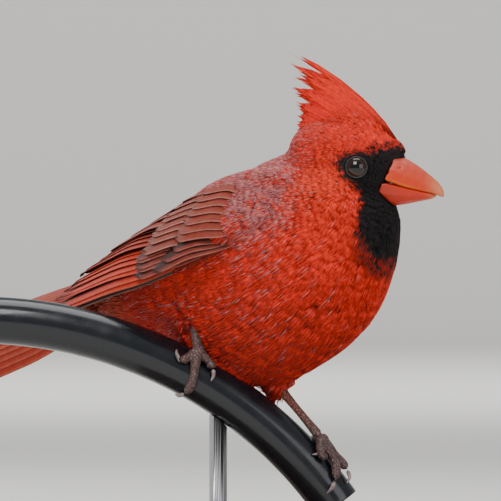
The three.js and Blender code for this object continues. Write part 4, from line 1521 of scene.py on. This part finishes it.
class CARDINAL_OT_legs(bpy.types.Operator):
    """Shanks, feet and claws"""

    bl_idname = "cardinal.legs"
    bl_label = "Legs"

    def execute(self, context):
        settings = context.scene.cardinal_legs
        for name in ("right", "left"):
            nodes = [f"shank_{name}", f"foot_{name}"]
            leg = refined(copied(f"leg_{name}", *nodes), 0.26, 5, swell=0.2)
            spots = vertices_of(leg)
            high = step(40, 56, spots[:, 2]) if name == "left" else 0 * spots[:, 2]
            shade = washed(np.array(settings.skin), settings.shank, high)
            paint(leg.data, shade * (1 + 0.12 * ripple(spots, 4.0, 91))[:, None])
            give(leg, "leg", nodes)
            for toe in ("middle", "inner", "outer", "hind"):
                node = f"claw_{name}_{toe}"
                claw = copied(f"nail_{name}_{toe}", node)
                applied(claw, "SUBSURF", levels=2, render_levels=2)
                give(claw, "claw", [node])
        return {"FINISHED"}


# Perch, stand and stage


class StandSettings(bpy.types.PropertyGroup):
    powder: FloatVectorProperty(
        name="Powder coat", description="Blue-black of the pole", subtype="COLOR",
        default=linear("#111419"),
    )
    edge: FloatProperty(
        name="Base edge", description="Rounding of the base's edges", default=0.0012,
        unit="LENGTH", subtype="DISTANCE",
    )


class CARDINAL_OT_perch(bpy.types.Operator):
    """The short cut length of curved steel pole, spun round its bend"""

    bl_idname = "cardinal.perch"
    bl_label = "Perch"

    def execute(self, context):
        start = math.radians(BEND_FROM)
        sweep = math.radians(BEND_TO - BEND_FROM)
        middle = Vector((BEND_AT[0], 0, BEND_AT[1])) * MM
        at = middle + Vector((math.sin(start), 0, math.cos(start))) * BEND_RADIUS * MM
        bpy.ops.object.select_all(action="DESELECT")
        bpy.ops.mesh.primitive_circle_add(
            vertices=64, radius=POLE_RADIUS * MM, location=at, fill_type="NGON",
            rotation=(0, math.pi / 2 + start, 0),
        )
        pole = bpy.context.object
        pole.name = "pole"
        bpy.ops.object.transform_apply(location=True, rotation=True, scale=True)
        with editing(pole):
            bpy.ops.mesh.spin(steps=72, angle=-sweep, center=middle, axis=(0, 1, 0))
            bpy.ops.mesh.select_all(action="SELECT")
            bpy.ops.mesh.remove_doubles(threshold=MERGE / 10)
            bpy.ops.mesh.normals_make_consistent(inside=False)
        bevelled(pole, 0.0005, 3, 60)
        give(pole, "pole", ["perch"], sharp=True)
        return {"FINISHED"}


class CARDINAL_OT_stand(bpy.types.Operator):
    """The plain display stand: a waxed wooden base and one steel rod"""

    bl_idname = "cardinal.stand"
    bl_label = "Stand"

    def execute(self, context):
        settings = context.scene.cardinal_stand
        base = copied("stand_block", "stand_base")
        bevelled(base, settings.edge, 4, 50)
        give(base, "wood", ["stand_base"], sharp=True)
        rod = copied("stand_post", "stand_rod")
        give(rod, "steel", ["stand_rod"], sharp=True)
        return {"FINISHED"}


# The studio, in metres: a floor wide enough for a camera to go all round, with a wall behind
# that it curves up into
FLOOR_SIZE = 14.0
FLOOR_AT = (0, -0.5, 0)
WALL_HEIGHT = 2.4
FLOOR_CURVE = 0.9

# The lamps: where each stands, its size, its power in watts and where it points
BIRD_AT = (0.0, 0.0, 0.09)
LAMPS = {
    "key": ((-0.35, -1.0, 1.15), 0.7, 17, BIRD_AT),
    "fill": ((1.1, -1.2, 0.5), 1.0, 7, BIRD_AT),
    "top": ((0.0, 0.25, 1.3), 0.9, 11, BIRD_AT),
    "rim": ((-0.9, 0.8, 0.7), 0.5, 6, BIRD_AT),
    "backdrop": ((0.0, 2.6, 2.2), 2.0, 90, (0, 5.8, 0)),
}


def studio_floor():
    """Pale matt paper, lying flat and curving up behind."""
    bpy.ops.object.select_all(action="DESELECT")
    bpy.ops.mesh.primitive_plane_add(size=FLOOR_SIZE, location=FLOOR_AT)
    floor = bpy.context.object
    floor.name = "studio_floor"
    bpy.ops.object.transform_apply(location=True, rotation=True, scale=True)
    back = {v.index for v in floor.data.vertices if v.co.y > 0}
    for face in floor.data.polygons:
        face.select = False
    for edge in floor.data.edges:
        edge.select = set(edge.vertices) <= back
    for vertex in floor.data.vertices:
        vertex.select = vertex.index in back
    bpy.ops.object.mode_set(mode="EDIT")
    bpy.ops.mesh.extrude_region_move(TRANSFORM_OT_translate={"value": (0, 0, WALL_HEIGHT)})
    bpy.ops.object.mode_set(mode="OBJECT")
    applied(floor, "BEVEL", width=FLOOR_CURVE, segments=24, limit_method="ANGLE")
    finish, _ = material("matt_paper", **{"Roughness": 0.9, "Base Color": rgba("#e4e2de")})
    floor.data.materials.append(finish)
    smooth(floor)


def photo_camera():
    """A camera that sees what the photograph shows, from far off and level."""
    lens = bpy.data.cameras.new("camera")
    lens.lens = SENSOR * CAMERA_DISTANCE / (PICTURE / PIXELS_PER_MM)
    lens.sensor_width = SENSOR
    lens.clip_start = 0.05
    lens.clip_end = 20
    aside, up = PICTURE / 2 - PICTURE_ORIGIN[0], PICTURE_ORIGIN[1] - PICTURE / 2
    camera = placed("camera", lens)
    camera.location = Vector((aside / PIXELS_PER_MM, -CAMERA_DISTANCE, up / PIXELS_PER_MM)) * MM
    camera.rotation_euler = (math.pi / 2, 0, 0)
    bpy.context.scene.camera = camera


class CARDINAL_OT_stage(bpy.types.Operator):
    """Pale floor that curves up behind, soft studio lights and the camera"""

    bl_idname = "cardinal.stage"
    bl_label = "Stage"

    def execute(self, context):
        studio_floor()
        for name, (spot, size, power, target) in LAMPS.items():
            lamp = bpy.data.lights.new(name, "AREA")
            lamp.energy = power
            lamp.size = size
            holder = placed(name, lamp)
            holder.location = spot
            way = Vector(target) - Vector(spot)
            holder.rotation_euler = way.to_track_quat("-Z", "Y").to_euler()
        world = bpy.data.worlds.new("studio")
        world.use_nodes = True
        sky = world.node_tree.nodes["Background"].inputs
        sky["Color"].default_value = rgba("#eef0f4")
        sky["Strength"].default_value = 0.45
        context.scene.world = world
        photo_camera()
        return {"FINISHED"}


class CARDINAL_PT_build(bpy.types.Panel):
    """Lists the build steps in the 3D view's sidebar"""

    bl_label = "Northern cardinal"
    bl_idname = "CARDINAL_PT_build"
    bl_space_type = "VIEW_3D"
    bl_region_type = "UI"
    bl_category = "Cardinal"

    def draw(self, context):
        for step_class in STEPS:
            self.layout.operator(step_class.bl_idname)


STEPS = (
    CARDINAL_OT_stage,
    CARDINAL_OT_skin,
    CARDINAL_OT_coat,
    CARDINAL_OT_crest,
    CARDINAL_OT_wings,
    CARDINAL_OT_tail,
    CARDINAL_OT_bill,
    CARDINAL_OT_eyes,
    CARDINAL_OT_legs,
    CARDINAL_OT_perch,
    CARDINAL_OT_stand,
)
GROUPS = {
    "cardinal_coat": CoatSettings,
    "cardinal_crest": CrestSettings,
    "cardinal_wings": WingSettings,
    "cardinal_eyes": EyeSettings,
    "cardinal_legs": LegSettings,
    "cardinal_stand": StandSettings,
}


def register():
    """Adds the settings, the operators and the panel."""
    for group in GROUPS.values():
        bpy.utils.register_class(group)
    for name, group in GROUPS.items():
        setattr(bpy.types.Scene, name, PointerProperty(type=group))
    for made in (*STEPS, CARDINAL_PT_build):
        bpy.utils.register_class(made)


def unregister():
    """Takes them away again."""
    for made in reversed((*STEPS, CARDINAL_PT_build)):
        bpy.utils.unregister_class(made)
    for name in GROUPS:
        delattr(bpy.types.Scene, name)
    for group in reversed(GROUPS.values()):
        bpy.utils.unregister_class(group)


def make_finishes():
    """Makes every material once, for the operators to share."""
    FINISHES.update(
        plumage=plumage_material(),
        vane=vane_material(),
        horn=horn_material(),
        claw=claw_material(),
        leg=leg_material(),
        eye=eye_material(),
        lid=lid_material("#1e1a1a"),
        pole=pole_material(bpy.context.scene.cardinal_stand.powder),
        steel=steel_material(),
        wood=wood_material(),
    )


def main():
    """Builds everything."""
    register()
    make_finishes()
    for made in STEPS:
        group, name = made.bl_idname.split(".")
        getattr(getattr(bpy.ops, group), name)()


if __name__ == "__main__":
    main()
